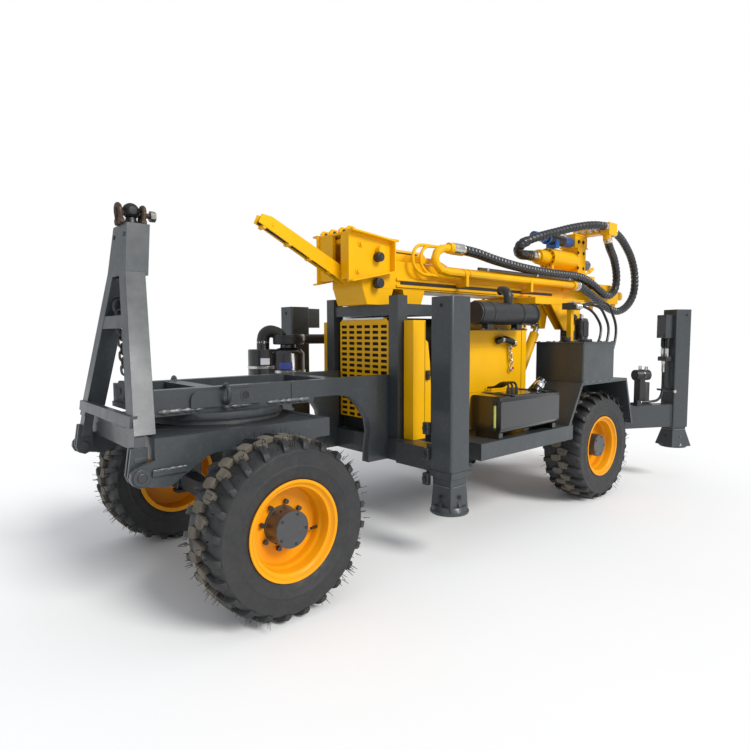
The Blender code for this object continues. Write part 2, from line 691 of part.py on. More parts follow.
def build_outriggers():
    half = LEG / 2
    inner = half - LEG_WALL
    for side, label in SIDES:
        x, y = LEG_X, side * LEG_Y
        tube = rounded(x - half, x + half, y - half, y + half, LEG_BOTTOM, LEG_TOP, 0.012, "z", 2)
        cut = box(x - inner, x + inner, y - inner, y + inner, 0.40, LEG_TOP - LEG_WALL)
        plate = span(side, LEG_Y - half - 0.034 + REST, LEG_Y - half + 0.004)
        bracket = box(LEG_X - 0.059, LEG_X + 0.071, *plate, RAIL_LOW - 0.01, RAIL_TOP + 0.029)
        shapes = [tube, bracket]
        if side < 0:
            shapes.append(box(x - half - 0.116, x - half + 0.004, y - 0.045, y + 0.045, 1.318, 1.463))
        piece("jack_leg_front_" + label, "grey", shapes, [cut])
        foot("jack_foot_front_" + label, LEG_X, side * LEG_Y, inner - SLIDE)
        px, py = ARM_PIVOT[0], side * ARM_PIVOT[1]
        turn = -side * ARM_ANGLE
        leg_x = px - ARM_REACH
        shapes = [
            box(leg_x + half - 0.006, px - 0.030, py - ARM_HALF, py + ARM_HALF, ARM_LOW, ARM_HIGH),
            rod((px, py, ARM_LOW - 0.012 + REST), (px, py, ARM_HIGH + 0.012 - REST), 0.050, 20),
            rounded(leg_x - half, leg_x + half, py - half, py + half, LEG_BOTTOM - 0.03, LEG_TOP, 0.012, "z", 2),
        ]
        front = leg_x + half - 0.004
        shapes.append(box(front, front + 0.079, py - 0.060, py + 0.045, 1.228, 1.426))
        shapes.append(box(front, front + 0.068, py - 0.048, py + 0.048, 1.030, 1.068))
        for y in (py - 0.028, py + 0.022):
            shapes.append(rod((leg_x + STUB_X, y, 1.060), (leg_x + STUB_X, y, 1.236), 0.012, 10))
        y = py - side * 0.015
        shapes.append(rod((leg_x + STUB_X, y, 1.036), (leg_x + STUB_X, y, STUB_LOW), 0.014, 10))
        cut = box(leg_x - inner, leg_x + inner, py - inner, py + inner, 0.40, LEG_TOP - LEG_WALL)
        bore = rod((px, py, 0.44), (px, py, 0.68), ARM_PIN_R + RUN, 16)
        for shape in shapes + [cut]:
            turned(shape, (px, py), turn)
        piece("outrigger_arm_" + label, "grey", shapes, [cut, bore], (px, py, ARM_LOW))
        foot("jack_foot_rear_" + label, leg_x, py, inner - SLIDE, turn, (px, py))


def build_fenders():
    deck = RAIL_TOP - 0.001 + REST
    top = FENDER_TOP
    under = FENDER_TOP - FENDER_WALL
    outline = [(DECK_REAR + 0.056, deck), (-2.412, top), (-3.108, top), (-3.232, 0.546),
               (-3.210, 0.546), (-3.092, under), (-2.424, under), (DECK_REAR + 0.030, deck)]
    wall = [(DECK_REAR + 0.034, deck + 0.002), (-2.420, under + 0.002), (-3.094, under + 0.002), (-3.182, 0.600),
            (DECK_REAR - 0.003, 0.600), (DECK_REAR - 0.003, deck + 0.002)]
    for side, label in SIDES:
        shapes = [prism(outline, "y", *span(side, FENDER_IN, DECK_OUT))]
        shapes.append(prism(wall, "y", *span(side, FENDER_IN, FENDER_IN + 0.012)))
        for x in (-2.370, -3.170):
            shapes.append(box(x, x + 0.06, *span(side, RAIL_OUT + REST, FENDER_IN + 0.004), 0.560, RAIL_TOP - 0.005))
        piece("fender_" + label, "grey", shapes)


def build_engine():
    low = RAIL_TOP + 0.0005
    for side, label in SIDES:
        piece("engine_panel_" + label, "yellow", [box(-2.235, -1.300, *span(side, PANEL_Y - PANEL, PANEL_Y), low, PANEL_TOP)])
        cover = box(-1.165, -1.060, *span(side, POST_OUT + 0.011, PANEL_Y), BEAM_SEAT + REST, PANEL_TOP - 0.004)
        step = [(-1.160, 0.660), (-1.215, 0.660), (-1.215, 0.95), (-1.205, 1.10), (-1.188, 1.22), (-1.160, 1.24)]
        piece("cooler_cover_" + label, "yellow", [cover, prism(step, "y", *span(side, POST_OUT + 0.013, PANEL_Y - 0.0005))])
    half = PANEL_Y - PANEL - REST
    block = box(ENGINE_REAR, ENGINE_FRONT, -half, half, low, ENGINE_TOP)
    cooler = box(ENGINE_FRONT - 0.01, GRILLE_X - REST, -0.240, 0.240, low, GRILLE_TOP - 0.001)
    piece("engine_block", "black", [block, cooler])
    build_grille()
    x0, x1, y, z, radius = MUFFLER
    shapes = [rod((x1, y, z), (x0, y, z), radius, 24)]
    shapes.append(rod((-1.835, y, z + 0.04), (-1.860, y, z + 0.133), 0.024, 12))
    for x in (-1.62, -1.94):
        shapes.append(box(x - 0.03, x + 0.03, y - 0.025, y + 0.025, z - 0.104, z - 0.057))
    shapes.append(box(-2.02, -1.50, PANEL_Y + REST, y + 0.035, z - 0.110, z - 0.102))
    piece("muffler", "black", shapes)


def build_grille():
    """A pressed plate whose slots are laid out as one flat grid of cells."""
    wide = 2 * GRILLE_HALF
    tall = GRILLE_TOP - GRILLE_LOW
    ys = [-GRILLE_HALF]
    for i in range(GRILLE_COLUMNS):
        middle = -GRILLE_HALF + wide * (i + 0.5) / GRILLE_COLUMNS
        ys += [middle - SLOT[0] / 2, middle + SLOT[0] / 2]
    ys.append(GRILLE_HALF)
    zs = [GRILLE_LOW]
    for j in range(GRILLE_ROWS):
        middle = GRILLE_LOW + tall * (j + 0.5) / GRILLE_ROWS
        zs += [middle - SLOT[1] / 2, middle + SLOT[1] / 2]
    zs.append(GRILLE_TOP)
    verts = []
    faces = []
    for x in (GRILLE_X, GRILLE_X + 0.012):
        verts += [(x, y, z) for y in ys for z in zs]
    nz = len(zs)
    layer = len(ys) * nz

    def open_cell(i, j):
        return i % 2 == 1 and j % 2 == 1

    def solid(i, j):
        return 0 <= i < len(ys) - 1 and 0 <= j < nz - 1 and not open_cell(i, j)

    for i in range(len(ys) - 1):
        for j in range(nz - 1):
            if not solid(i, j):
                continue
            corner = [i * nz + j, (i + 1) * nz + j, (i + 1) * nz + j + 1, i * nz + j + 1]
            faces.append(corner)
            faces.append([layer + v for v in corner])
            sides = (((i - 1, j), corner[0], corner[3]), ((i + 1, j), corner[1], corner[2]),
                     ((i, j - 1), corner[0], corner[1]), ((i, j + 1), corner[3], corner[2]))
            for near, a, b in sides:
                if not solid(*near):
                    faces.append([a, b, layer + b, layer + a])
    piece("grille", "yellow", [mesh_object("shape", verts, faces)])


def build_tanks():
    x0, x1, y0, top = OIL
    low = FENDER_TOP + REST
    tank = rounded(x0, x1, y0, DECK_OUT, low, top, 0.008, "z", 1)
    shapes = [tank, box(x0 - 0.008, x1 + 0.008, y0 - 0.008, DECK_OUT + 0.006, top - 0.0005, top + 0.008)]
    shapes.append(box(x0 + 0.008, x0 + 0.038, y0 + 0.015, y0 + 0.045, top, VALVE_Z - 0.020))
    shapes.append(box(VALVE_X + 0.023, VALVE_X + 0.105, y0 - 0.022, y0 + 0.092, VALVE_Z - 0.026, VALVE_Z + 0.026))
    for k in range(3):
        y, low_y = VALVE_Y + VALVE_STEP * k, TANK_PORT_Y + VALVE_STEP * k
        shapes.append(rod((VALVE_X, y, VALVE_Z), (VALVE_X + 0.030, y, VALVE_Z), THIN + 0.003, 10))
        shapes.append(rod((x0 - 0.047, low_y, TANK_PORT_Z), (x0 + 0.010, low_y, TANK_PORT_Z), THIN + 0.003, 10))
    piece("oil_tank", "grey", shapes)
    x0, x1, y0, low, top = TANK
    deck = RAIL_TOP - 0.001 + REST
    shapes = [rounded(x0, x1, y0, DECK_OUT, low, top, 0.032, "x", 4)]
    for x in (x0 + 0.008, x1 - 0.048):
        shapes.append(box(x, x + 0.04, y0 + 0.04, DECK_OUT - 0.02, deck, low + 0.006))
    shapes.append(rod((-1.980, 0.66, top - 0.02), (-2.060, 0.70, top + 0.066), 0.034, 14))
    piece("fuel_tank", "black", shapes)


def build_cleaners():
    shelf = 0.8535
    face = LEG_X + LEG / 2 + REST
    shapes = [box(face, -0.600, -0.80, -0.45, shelf, shelf + 0.0125)]
    base = shelf + 0.0115
    big = ((0.0, 0.0), (0.118, 0.0), (0.118, 0.27), (0.095, 0.300), (0.055, 0.31), (0.055, 0.34), (0.0, 0.34))
    small = ((0.0, 0.0), (0.106, 0.0), (0.106, 0.295), (0.100, 0.300), (0.045, 0.302), (0.045, 0.34), (0.0, 0.34))
    shapes.append(lathe(big, (-0.835, -0.575, base), "z", 16))
    shapes.append(rod((-0.835, -0.575, 1.200), (-0.835, -0.575, 1.265), 0.100, 16))
    duct = [(-0.835, -0.575, 1.235), (-0.90, -0.56, 1.235), (-1.16, -0.50, 1.235), (-1.285, -0.482, 1.235)]
    shapes.append(pipe(duct, 0.032, 10))
    shapes.append(lathe(small, (-0.700, -0.685, base), "z", 16))
    elbow = [(-0.700, -0.685, 1.19), (-0.703, -0.683, 1.245), (-0.715, -0.675, 1.275), (-0.745, -0.655, 1.288), (-0.790, -0.625, 1.270)]
    shapes.append(pipe(elbow, 0.040, 10))
    piece("air_cleaners", "black", shapes)


def build_controls():
    top = FENDER_TOP + REST
    desk = [(-2.95, top), (-2.50, top), (-2.50, 1.135), (-2.60, 1.165), (-2.95, 1.165)]
    shapes = [prism(desk, "y", -0.76, -0.52)]
    for k in range(6):
        x = -2.90 + 0.055 * k
        shapes.append(rod((x, -0.70, 1.15), (x, -0.728, 1.285), 0.011, 6))
    piece("control_console", "grey", shapes)
    build_pump()


def build_pump():
    """A small motor and its black canister, bolted on top of the near outrigger's arm."""
    px, py = ARM_PIVOT
    floor = ARM_HIGH + REST
    x = px - 0.290
    shapes = [box(x - 0.085, x + 0.055, py - 0.050, py + 0.050, floor, floor + 0.015)]
    shapes.append(rod((x - 0.040, py, floor + 0.010), (x - 0.040, py, 0.850), 0.042, 16))
    shapes.append(box(x - 0.020, x + 0.030, py - 0.040, py + 0.035, floor + 0.014, 0.880))
    shapes.append(rod((x + 0.060, py, 0.912), (x - 0.075, py, 0.912), 0.046, 16))
    port_x, port_y, port_z = PUMP_PORT
    shapes.append(box(px + port_x, px + port_x + 0.040, py + 0.030, py + port_y + 0.018, floor, port_z + 0.016))
    for shape in shapes:
        turned(shape, ARM_PIVOT, -ARM_ANGLE)
    piece("arm_pump", "black", shapes, origin=(px, py, ARM_LOW))


def build_mast():
    shapes = []
    for side, _ in SIDES:
        shapes.append(box(MAST_REAR, MAST_FRONT, *span(side, MAST_HALF - MAST_WALL, MAST_HALF), MAST_LOW, MAST_TOP))
        lug = [(MAST_REAR + 0.01, 1.600), (MAST_REAR + 0.01, 1.690)] + arc((MAST_REAR - 0.11, 1.645), 0.040, 90, 270, 4)
        shapes.append(prism(lug, "y", *span(side, 0.110, 0.128)))
    inside = MAST_HALF - MAST_WALL + 0.01
    for x in (MAST_REAR + 0.04, -3.50, -2.90, -2.20, -1.50, MAST_FRONT - 0.04):
        shapes.append(box(x - 0.039, x + 0.039, -inside, inside, MAST_LOW + 0.005, MAST_TOP - 0.005))
    shapes.append(box(MAST_REAR + 0.001, MAST_FRONT - 0.001, -inside, inside, MAST_LOW + 0.001, MAST_LOW + 0.040))
    for x0, x1 in ((-1.18, MAST_FRONT - 0.002), (-1.47, -1.26)):
        saddle = [(x0, MAST_LOW + 0.002), (x1, MAST_LOW + 0.002), (x1 - 0.04, BEAM_TOP + SLIDE), (x0 + 0.04, BEAM_TOP + SLIDE)]
        shapes.append(prism(saddle, "y", -MAST_HALF + 0.001, MAST_HALF - 0.001))
    piece("mast_beam", "yellow", shapes, origin=(PIVOT[0], 0.0, PIVOT[1]))
    build_head()
    build_jib()
    build_cradle()


def build_head():
    front, back = -0.800, -1.140
    web = [(front, 1.896), (front, 1.583), (back, 1.656), (back, 1.861)]
    plate = 0.015
    shapes = []
    for side, _ in SIDES:
        y = MAST_HALF + REST
        shapes.append(prism(web, "y", *span(side, y, y + plate)))
        flange = span(side, y + 0.002, y + 0.055)
        shapes.append(prism([(front, 1.8955), (back, 1.8605), (back, 1.8505), (front, 1.8855)], "y", *flange))
        shapes.append(prism([(front, 1.5835), (back, 1.6565), (back, 1.6665), (front, 1.5935)], "y", *flange))
        shapes.append(box(back - 0.0095, back + 0.0005, *flange, 1.6565, 1.8605))
    reach = MAST_HALF + 0.005
    shapes.append(rod((JIB_PIN[0], -reach, 1.845), (JIB_PIN[0], reach, 1.845), 0.020, 12))
    shapes.append(rod((JIB_PIN[0], -reach, JIB_PIN[1]), (JIB_PIN[0], reach, JIB_PIN[1]), 0.0115, 12))
    shapes.append(box(-0.95, -0.81, -reach, reach, 1.875, 1.888))
    shapes.append(rod((-1.035, -reach, 1.790), (-1.035, reach + 0.05, 1.790), 0.026, 12))
    piece("mast_head", "yellow", shapes, origin=(PIVOT[0], 0.0, PIVOT[1]))


def build_jib():
    """Two slim blades on spacers, drawn level from the pin and tilted to where they park."""
    px, pz = JIB_PIN
    length = JIB_LENGTH
    blade = [(px - 0.012, pz + 0.050), (px + length - 0.06, pz + 0.050), (px + length, pz + 0.030),
             (px + length, pz - 0.020), (px + 0.10, pz - 0.032), (px, pz - 0.036)]
    blade += arc((px, pz), 0.042, 250, 150, 3)
    shapes = []
    inner = JIB_GAP / 2
    for y in (JIB_Y - inner - 0.010, JIB_Y + inner):
        shapes.append(prism(blade, "y", y, y + 0.010))
    for x in (0.10, 0.26, 0.42, 0.60):
        shapes.append(box(px + x, px + x + 0.022, JIB_Y - inner - 0.004, JIB_Y + inner + 0.004, pz - 0.022, pz + 0.006))
    bore = rod((px, -0.06, pz), (px, 0.10, pz), 0.0125, 12)
    for shape in shapes + [bore]:
        turned(shape, JIB_PIN, -JIB_TILT, "y")
    piece("hoist_jib", "yellow", shapes, [bore], (JIB_PIN[0], 0.0, JIB_PIN[1]))


def build_cradle():
    under = 1.505
    shapes = [box(-3.320, -2.560, -0.310, 0.310, under, MAST_LOW - REST)]
    for side, _ in SIDES:
        plate = [(-3.240, under + 0.007), (-2.800, under + 0.007), (-3.02, 1.302), (-3.180, 1.302), (-3.240, 1.36)]
        inner = POST_IN - 0.030
        shapes.append(prism(plate, "y", *span(side, inner, inner + 0.020)))
        shapes.append(rod((PIVOT[0], side * (inner + 0.005), PIVOT[1]),
                          (PIVOT[0], side * (POST_IN + POST_WIDE + 0.012), PIVOT[1]), PIVOT_R, 16))
        ex, ez = LIFT_EYE
        lug = [(ex - 0.090, under + 0.007), (ex + 0.090, under + 0.007), (ex + 0.040, ez - 0.040), (ex - 0.040, ez - 0.040)]
        for y in (LIFT_Y - 0.044, LIFT_Y + 0.032):
            shapes.append(prism(lug, "y", *span(side, y, y + 0.012)))
    piece("mast_cradle", "yellow", shapes, origin=(PIVOT[0], 0.0, PIVOT[1]))


def build_rotary():
    low = MAST_TOP + SLIDE
    guide = MAST_HALF + SLIDE
    shapes = [box(-3.760, -3.150, -guide - 0.0195, guide + 0.0195, low, low + 0.060)]
    for side, _ in SIDES:
        shapes.append(box(-3.700, -3.210, *span(side, guide, guide + 0.0215), MAST_LOW + 0.080, low + 0.007))
    shapes.append(box(-3.740, -3.600, -0.085, 0.085, low + 0.058, BLOCK_Z - 0.163))
    shapes.append(box(-3.780, -3.560, -0.075, 0.075, BLOCK_Z - 0.173, BLOCK_Z - 0.053))
    shapes.append(rod((-3.200, 0.0, SWIVEL_Z), (-3.610, 0.0, SWIVEL_Z), 0.090, 20))
    shapes.append(rod((-3.735, 0.0, SWIVEL_Z - 0.015), (-3.890, 0.0, SWIVEL_Z - 0.015), 0.046, 16))
    shapes.append(box(-3.230, -3.200, -0.06, 0.06, low + 0.058, SWIVEL_Z))
    shapes.append(box(-3.83, -3.72, -0.04, 0.26, BLOCK_Z - 0.055, BLOCK_Z + 0.002))
    shapes.append(box(-3.85, -3.70, 0.245, 0.33, BLOCK_Z - 0.073, BLOCK_Z + 0.037))
    shapes.append(rod((BLOCK_REAR, BLOCK_Y, PORT_Z), (-3.80, BLOCK_Y, PORT_Z), HOSE_R + 0.002, 12))
    shapes.append(rod((-3.76, BLOCK_Y, BLOCK_Z), (BLOCK_FRONT, BLOCK_Y, BLOCK_Z), HOSE_R + 0.002, 12))
    port = pipe([ELBOW, ELBOW_BACK, (-3.738, BLOCK_Y, BLOCK_Z - 0.065)], HOSE_R + 0.001, 10)
    shapes.append(port)
    piece("rotary_head", "yellow", shapes)
    z = SWIVEL_Z
    shapes = [rod((-3.200 + REST, 0.0, z), (-3.050, 0.0, z), 0.062, 16)]
    shapes.append(rod((-3.060, 0.0, z), (-2.960, 0.0, z), 0.045, 16))
    goose = [(-2.990, 0.0, z), (-2.800, 0.010, z - 0.005), (-2.735, 0.025, z + 0.010), (-2.712, 0.045, z + 0.040),
             GOOSE_BACK, GOOSE]
    shapes.append(pipe(goose, HOSE_R + 0.001, 10))
    piece("swivel", "steel", shapes)
    shapes = [rod((-3.150, 0.02, 2.115), (-3.560 + REST, 0.02, 2.115), 0.048, 14)]
    shapes.append(box(-3.30, -3.24, -0.03, 0.07, SWIVEL_Z + 0.090 + REST, 2.12))
    piece("rotary_motor", "blue", shapes)


def build_lift():
    bx, bz = LIFT_BASE
    ex, ez = LIFT_EYE
    length = math.hypot(ex - bx, ez - bz)
    ux, uz = (ex - bx) / length, (ez - bz) / length

    def along(distance, y):
        return (bx + distance * ux, y, bz + distance * uz)

    barrel = length - BARREL_SHORT
    for side, label in SIDES:
        y = side * LIFT_Y
        eye = 0.042 - 0.0008
        shapes = [rod(along(0.04, y), along(barrel, y), BARREL_R, 16)]
        shapes.append(rod((bx, y - eye, bz), (bx, y + eye, bz), 0.045, 16))
        cut = rod(along(0.10, y), along(barrel + 0.05, y), ROD_R + 0.0066, 16)
        piece("lift_barrel_" + label, "yellow", shapes, [cut], (bx, y, bz))
        shapes = [rod(along(0.11, y), along(length - 0.02, y), ROD_R, 16)]
        shapes.append(rod(along(0.105, y), along(0.155, y), ROD_R + 0.006, 16))
        shapes.append(rod((ex, y - 0.026, ez), (ex, y + 0.026, ez), 0.036, 16))
        piece("lift_rod_" + label, "steel", shapes, origin=(ex, y, ez))


def hose(name, points, radius=HOSE_R):
    """A free hose on a smooth curve through the points, in a node of its own."""
    step = radius * 5
    route = []
    last = len(points) - 1
    for i in range(last):
        a, b = mathutils.Vector(points[i]), mathutils.Vector(points[i + 1])
        before = mathutils.Vector(points[i - 1]) if i else a * 2 - b
        after = mathutils.Vector(points[i + 2]) if i + 2 <= last else b * 2 - a
        count = max(1, round((b - a).length / step))
        for k in range(count):
            t = k / count
            route.append(0.5 * (2 * a + (b - before) * t + (2 * before - 5 * a + 4 * b - after) * t ** 2
                                + (3 * a - before - 3 * b + after) * t ** 3))
    route.append(mathutils.Vector(points[last]))
    curve = bpy.data.curves.new(name, "CURVE")
    curve.dimensions = "3D"
    curve.bevel_depth = radius
    curve.bevel_resolution = 2
    curve.use_fill_caps = True
    spline = curve.splines.new("POLY")
    spline.points.add(len(route) - 1)
    for point, place in zip(spline.points, route):
        point.co = (place.x + SHIFT, place.y, place.z - DROP, 1.0)
    obj = bpy.data.objects.new(name, curve)
    bpy.context.scene.collection.objects.link(obj)
    curve.materials.append(paint(*PAINTS["rubber"]))
    return obj


def beyond(start, end, distance):
    """The point past end on the line from start."""
    start, end = mathutils.Vector(start), mathutils.Vector(end)
    return end + (end - start).normalized() * distance


def build_hoses():
    """Each hose leaves its fitting straight, so that the two faces meet flat."""
    y, port_y = HOSE_Y, BLOCK_Y
    lead = 0.040
    hose("hose_outer", [
        (PIPE_END - REST, PIPE_Y, PIPE_Z), (PIPE_END - lead, PIPE_Y, PIPE_Z), (-3.530, 0.217, 1.653),
        (-3.690, y, 1.596), (-3.854, y, 1.538), (-3.988, 0.216, 1.500), (-4.108, 0.225, 1.484),
        (-4.214, 0.238, 1.508), (-4.308, 0.250, 1.565), (-4.369, 0.260, 1.644), (-4.385, 0.268, 1.736),
        (-4.366, 0.275, 1.834), (-4.318, 0.280, 1.929), (-4.241, 0.284, 2.020), (-4.139, 0.287, 2.098),
        (-4.030, port_y, 2.162), (BLOCK_REAR - lead, port_y, PORT_Z), (BLOCK_REAR - REST, port_y, PORT_Z),
    ])
    hose("hose_inner", [
        (BEND_END - REST, PIPE_Y, BEND_Z), (BEND_END - lead, PIPE_Y, BEND_Z), (-1.95, 0.219, 1.846),
        (-2.15, y, 1.820), (-2.45, y, 1.792), (-2.80, y, 1.776), (-3.15, y, 1.777), (-3.38, y, 1.774),
        (-3.56, y, 1.744), (-3.718, y, 1.689), (-3.880, y, 1.636), (-3.995, 0.212, 1.640), (-4.082, 0.210, 1.694),
        (-4.105, 0.214, 1.780), (-4.064, 0.228, 1.872), (-3.967, 0.250, 1.976), (-3.832, 0.278, 2.050),
        beyond(ELBOW_BACK, ELBOW, lead / 2), beyond(ELBOW_BACK, ELBOW, REST),
    ])
    hose("hose_swivel", [
        beyond(GOOSE_BACK, GOOSE, REST), beyond(GOOSE_BACK, GOOSE, lead), (-2.93, 0.118, 2.098),
        (-3.09, 0.152, 2.142), (-3.28, 0.198, 2.193), (-3.45, 0.245, 2.228), (-3.56, 0.276, 2.241),
        (BLOCK_FRONT + lead, port_y, BLOCK_Z), (BLOCK_FRONT + REST, port_y, BLOCK_Z),
    ])


def spot(x, y):
    """A place along the near outrigger's arm, from its pin, turned as the arm is."""
    angle = math.radians(-ARM_ANGLE)
    return (ARM_PIVOT[0] + x * math.cos(angle) - y * math.sin(angle),
            ARM_PIVOT[1] + x * math.sin(angle) + y * math.cos(angle))


def build_thin_hoses():
    """The outrigger's hose and three loops from the valve down to the oil tank."""
    level = PUMP_PORT[2]
    stub = STUB_X - ARM_REACH
    route = ((stub, -0.015, STUB_LOW - REST), (stub, -0.015, STUB_LOW - 0.035), (stub + 0.004, -0.010, 0.830),
             (stub + 0.020, 0.004, 0.765), (stub + 0.054, 0.022, 0.718), (stub + 0.102, 0.040, 0.695),
             (stub + 0.162, 0.054, level + 0.002), (-0.300, PUMP_PORT[1], level),
             (PUMP_PORT[0] - 0.030, PUMP_PORT[1], level), (PUMP_PORT[0] - REST, PUMP_PORT[1], level))
    hose("hose_leg", [(*spot(x, y), z) for x, y, z in route], THIN)
    for k, name in enumerate(("hose_loop_a", "hose_loop_b", "hose_loop_c")):
        y, low_y = VALVE_Y + VALVE_STEP * k, TANK_PORT_Y + VALVE_STEP * k
        rear = OIL[0] - 0.440 - 0.065 * k
        hose(name, [
            (VALVE_X - REST, y, VALVE_Z), (VALVE_X - 0.035, y, VALVE_Z),
            (-3.080, y + 0.004, VALVE_Z + 0.010 + 0.010 * k), (rear + 0.100, y + 0.018, 1.460 + 0.030 * k),
            (rear + 0.018, y + 0.035, 1.390 + 0.016 * k), (rear, y + 0.055, 1.315),
            (rear + 0.050, low_y - 0.020, 1.225 - 0.018 * k), (rear + 0.150, low_y - 0.008, 1.148 - 0.026 * k),
            (-3.070 - 0.030 * k, low_y, TANK_PORT_Z + 0.008 - 0.018 * k),
            (OIL[0] - 0.082, low_y, TANK_PORT_Z), (OIL[0] - 0.047 - REST, low_y, TANK_PORT_Z),
        ], THIN)


def build_pipes():
    bend = [(-3.28, PIPE_Y, PIPE_Z), (-1.62, PIPE_Y, PIPE_Z), (-1.545, PIPE_Y, PIPE_Z + 0.012),
            (-1.505, PIPE_Y, PIPE_Z + 0.045), (-1.493, PIPE_Y, PIPE_Z + 0.085), (-1.510, PIPE_Y, PIPE_Z + 0.125),
            (-1.560, PIPE_Y, PIPE_Z + 0.155), (-1.640, PIPE_Y, BEND_Z)]
    shapes = [pipe(bend, PIPE_R, 10)]
    shapes.append(rod((-3.26, PIPE_Y, PIPE_Z), (PIPE_END, PIPE_Y, PIPE_Z), HOSE_R + 0.003, 12))
    shapes.append(rod((-1.625, PIPE_Y, BEND_Z), (BEND_END, PIPE_Y, BEND_Z), HOSE_R + 0.003, 12))
    for x in (-1.80, -2.60):
        shapes.append(box(x - 0.015, x + 0.015, MAST_HALF + REST, PIPE_Y + 0.030, 1.600, 1.625))
        shapes.append(box(x - 0.015, x + 0.015, PIPE_Y - 0.015, PIPE_Y + 0.030, 1.620, PIPE_Z + 0.010))
    piece("mud_pipe", "yellow", shapes, origin=(PIVOT[0], 0.0, PIVOT[1]))


def main():
    for obj in list(bpy.data.objects):
        bpy.data.objects.remove(obj)
    build_wheels()
    build_dolly()
    build_drawbar()
    build_neck()
    build_main_frame()
    build_portal()
    build_outriggers()
    build_fenders()
    build_engine()
    build_tanks()
    build_cleaners()
    build_controls()
    build_mast()
    build_rotary()
    build_lift()
    build_pipes()
    build_hoses()
    build_thin_hoses()


main()
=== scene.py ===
"""A trailer drilling rig's finished surfaces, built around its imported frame.

Shapes are drawn in metres from a point under the front axle, +X to the drawbar and +Z up.
Each finished piece is then moved by PLACE to where the frame stands.
"""

import json
import math
import random

import bmesh
import bpy
from mathutils import Matrix, Vector

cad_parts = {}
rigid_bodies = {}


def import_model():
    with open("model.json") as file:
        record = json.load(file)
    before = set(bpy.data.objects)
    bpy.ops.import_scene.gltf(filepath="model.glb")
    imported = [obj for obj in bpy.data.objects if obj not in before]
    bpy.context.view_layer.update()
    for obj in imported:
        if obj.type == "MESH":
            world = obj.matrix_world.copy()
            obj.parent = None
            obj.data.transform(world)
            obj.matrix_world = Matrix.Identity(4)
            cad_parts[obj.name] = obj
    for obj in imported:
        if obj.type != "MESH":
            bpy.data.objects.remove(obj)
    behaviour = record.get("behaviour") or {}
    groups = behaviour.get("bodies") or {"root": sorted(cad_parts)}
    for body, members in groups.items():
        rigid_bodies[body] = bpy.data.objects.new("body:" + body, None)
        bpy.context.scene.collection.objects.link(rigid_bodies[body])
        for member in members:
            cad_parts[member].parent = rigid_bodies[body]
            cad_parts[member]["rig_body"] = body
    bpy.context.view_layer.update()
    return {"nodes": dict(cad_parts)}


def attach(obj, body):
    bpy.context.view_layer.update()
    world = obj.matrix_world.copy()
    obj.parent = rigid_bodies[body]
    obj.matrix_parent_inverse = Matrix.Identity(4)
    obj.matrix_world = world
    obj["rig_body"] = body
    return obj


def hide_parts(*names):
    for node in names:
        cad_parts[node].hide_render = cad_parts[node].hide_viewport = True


bl_info = {
    "name": "Trailer drilling rig surfaces",
    "version": (1, 0, 0),
    "blender": (4, 5, 0),
    "location": "View3D > Sidebar > Drilling rig",
    "description": "Builds the surfaces and small pieces of a trailer drilling rig around its frame",
    "category": "Object",
}

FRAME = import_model()
PLACE = Vector((1.93, 0.0, -0.0105))

SIDES = ((1, "near"), (-1, "far"))
AXLE_Z = 0.4155
TRACK = 0.655
REAR_AXLE = -2.76
WHEELS = (
    ("front_near", 0.0, 1),
    ("front_far", 0.0, -1),
    ("rear_near", REAR_AXLE, 1),
    ("rear_far", REAR_AXLE, -1),
)

# Materials


def shader(name, colour, roughness, metallic=0.0, coat=0.0):
    """A material with its node tree and its Principled shader."""
    material = bpy.data.materials.new(name)
    material.use_nodes = True
    tree = material.node_tree
    principled = tree.nodes["Principled BSDF"]
    principled.inputs["Base Color"].default_value = (*colour, 1.0)
    principled.inputs["Roughness"].default_value = roughness
    principled.inputs["Metallic"].default_value = metallic
    principled.inputs["Coat Weight"].default_value = coat
    principled.inputs["Coat Roughness"].default_value = 0.12
    return material, tree, principled


def noise(tree, scale, detail=3.0, roughness=0.55, distortion=0.0):
    """A cloudy pattern that keeps its place on the object."""
    place = tree.nodes.new("ShaderNodeTexCoord")
    pattern = tree.nodes.new("ShaderNodeTexNoise")
    pattern.inputs["Scale"].default_value = scale
    pattern.inputs["Detail"].default_value = detail
    pattern.inputs["Roughness"].default_value = roughness
    pattern.inputs["Distortion"].default_value = distortion
    tree.links.new(place.outputs["Object"], pattern.inputs["Vector"])
    return pattern.outputs["Fac"]


def between(tree, value, low, high, start, end):
    """The value from low..high mapped to start..end, and held there."""
    step = tree.nodes.new("ShaderNodeMapRange")
    step.inputs["From Min"].default_value = low
    step.inputs["From Max"].default_value = high
    step.inputs["To Min"].default_value = start
    step.inputs["To Max"].default_value = end
    tree.links.new(value, step.inputs["Value"])
    return step.outputs["Result"]


def blended(tree, factor, first, second):
    """A colour mixed from two: each is a socket or three numbers."""
    mix = tree.nodes.new("ShaderNodeMix")
    mix.data_type = "RGBA"
    tree.links.new(factor, mix.inputs["Factor"])
    for socket, colour in ((mix.inputs["A"], first), (mix.inputs["B"], second)):
        if isinstance(colour, bpy.types.NodeSocket):
            tree.links.new(colour, socket)
        else:
            socket.default_value = (*colour, 1.0)
    return mix.outputs["Result"]


def relief(tree, principled, height, strength, distance=0.001):
    """Fine bumps in the shading that follow a height."""
    bump = tree.nodes.new("ShaderNodeBump")
    bump.inputs["Strength"].default_value = strength
    bump.inputs["Distance"].default_value = distance
    tree.links.new(height, bump.inputs["Height"])
    tree.links.new(bump.outputs["Normal"], principled.inputs["Normal"])


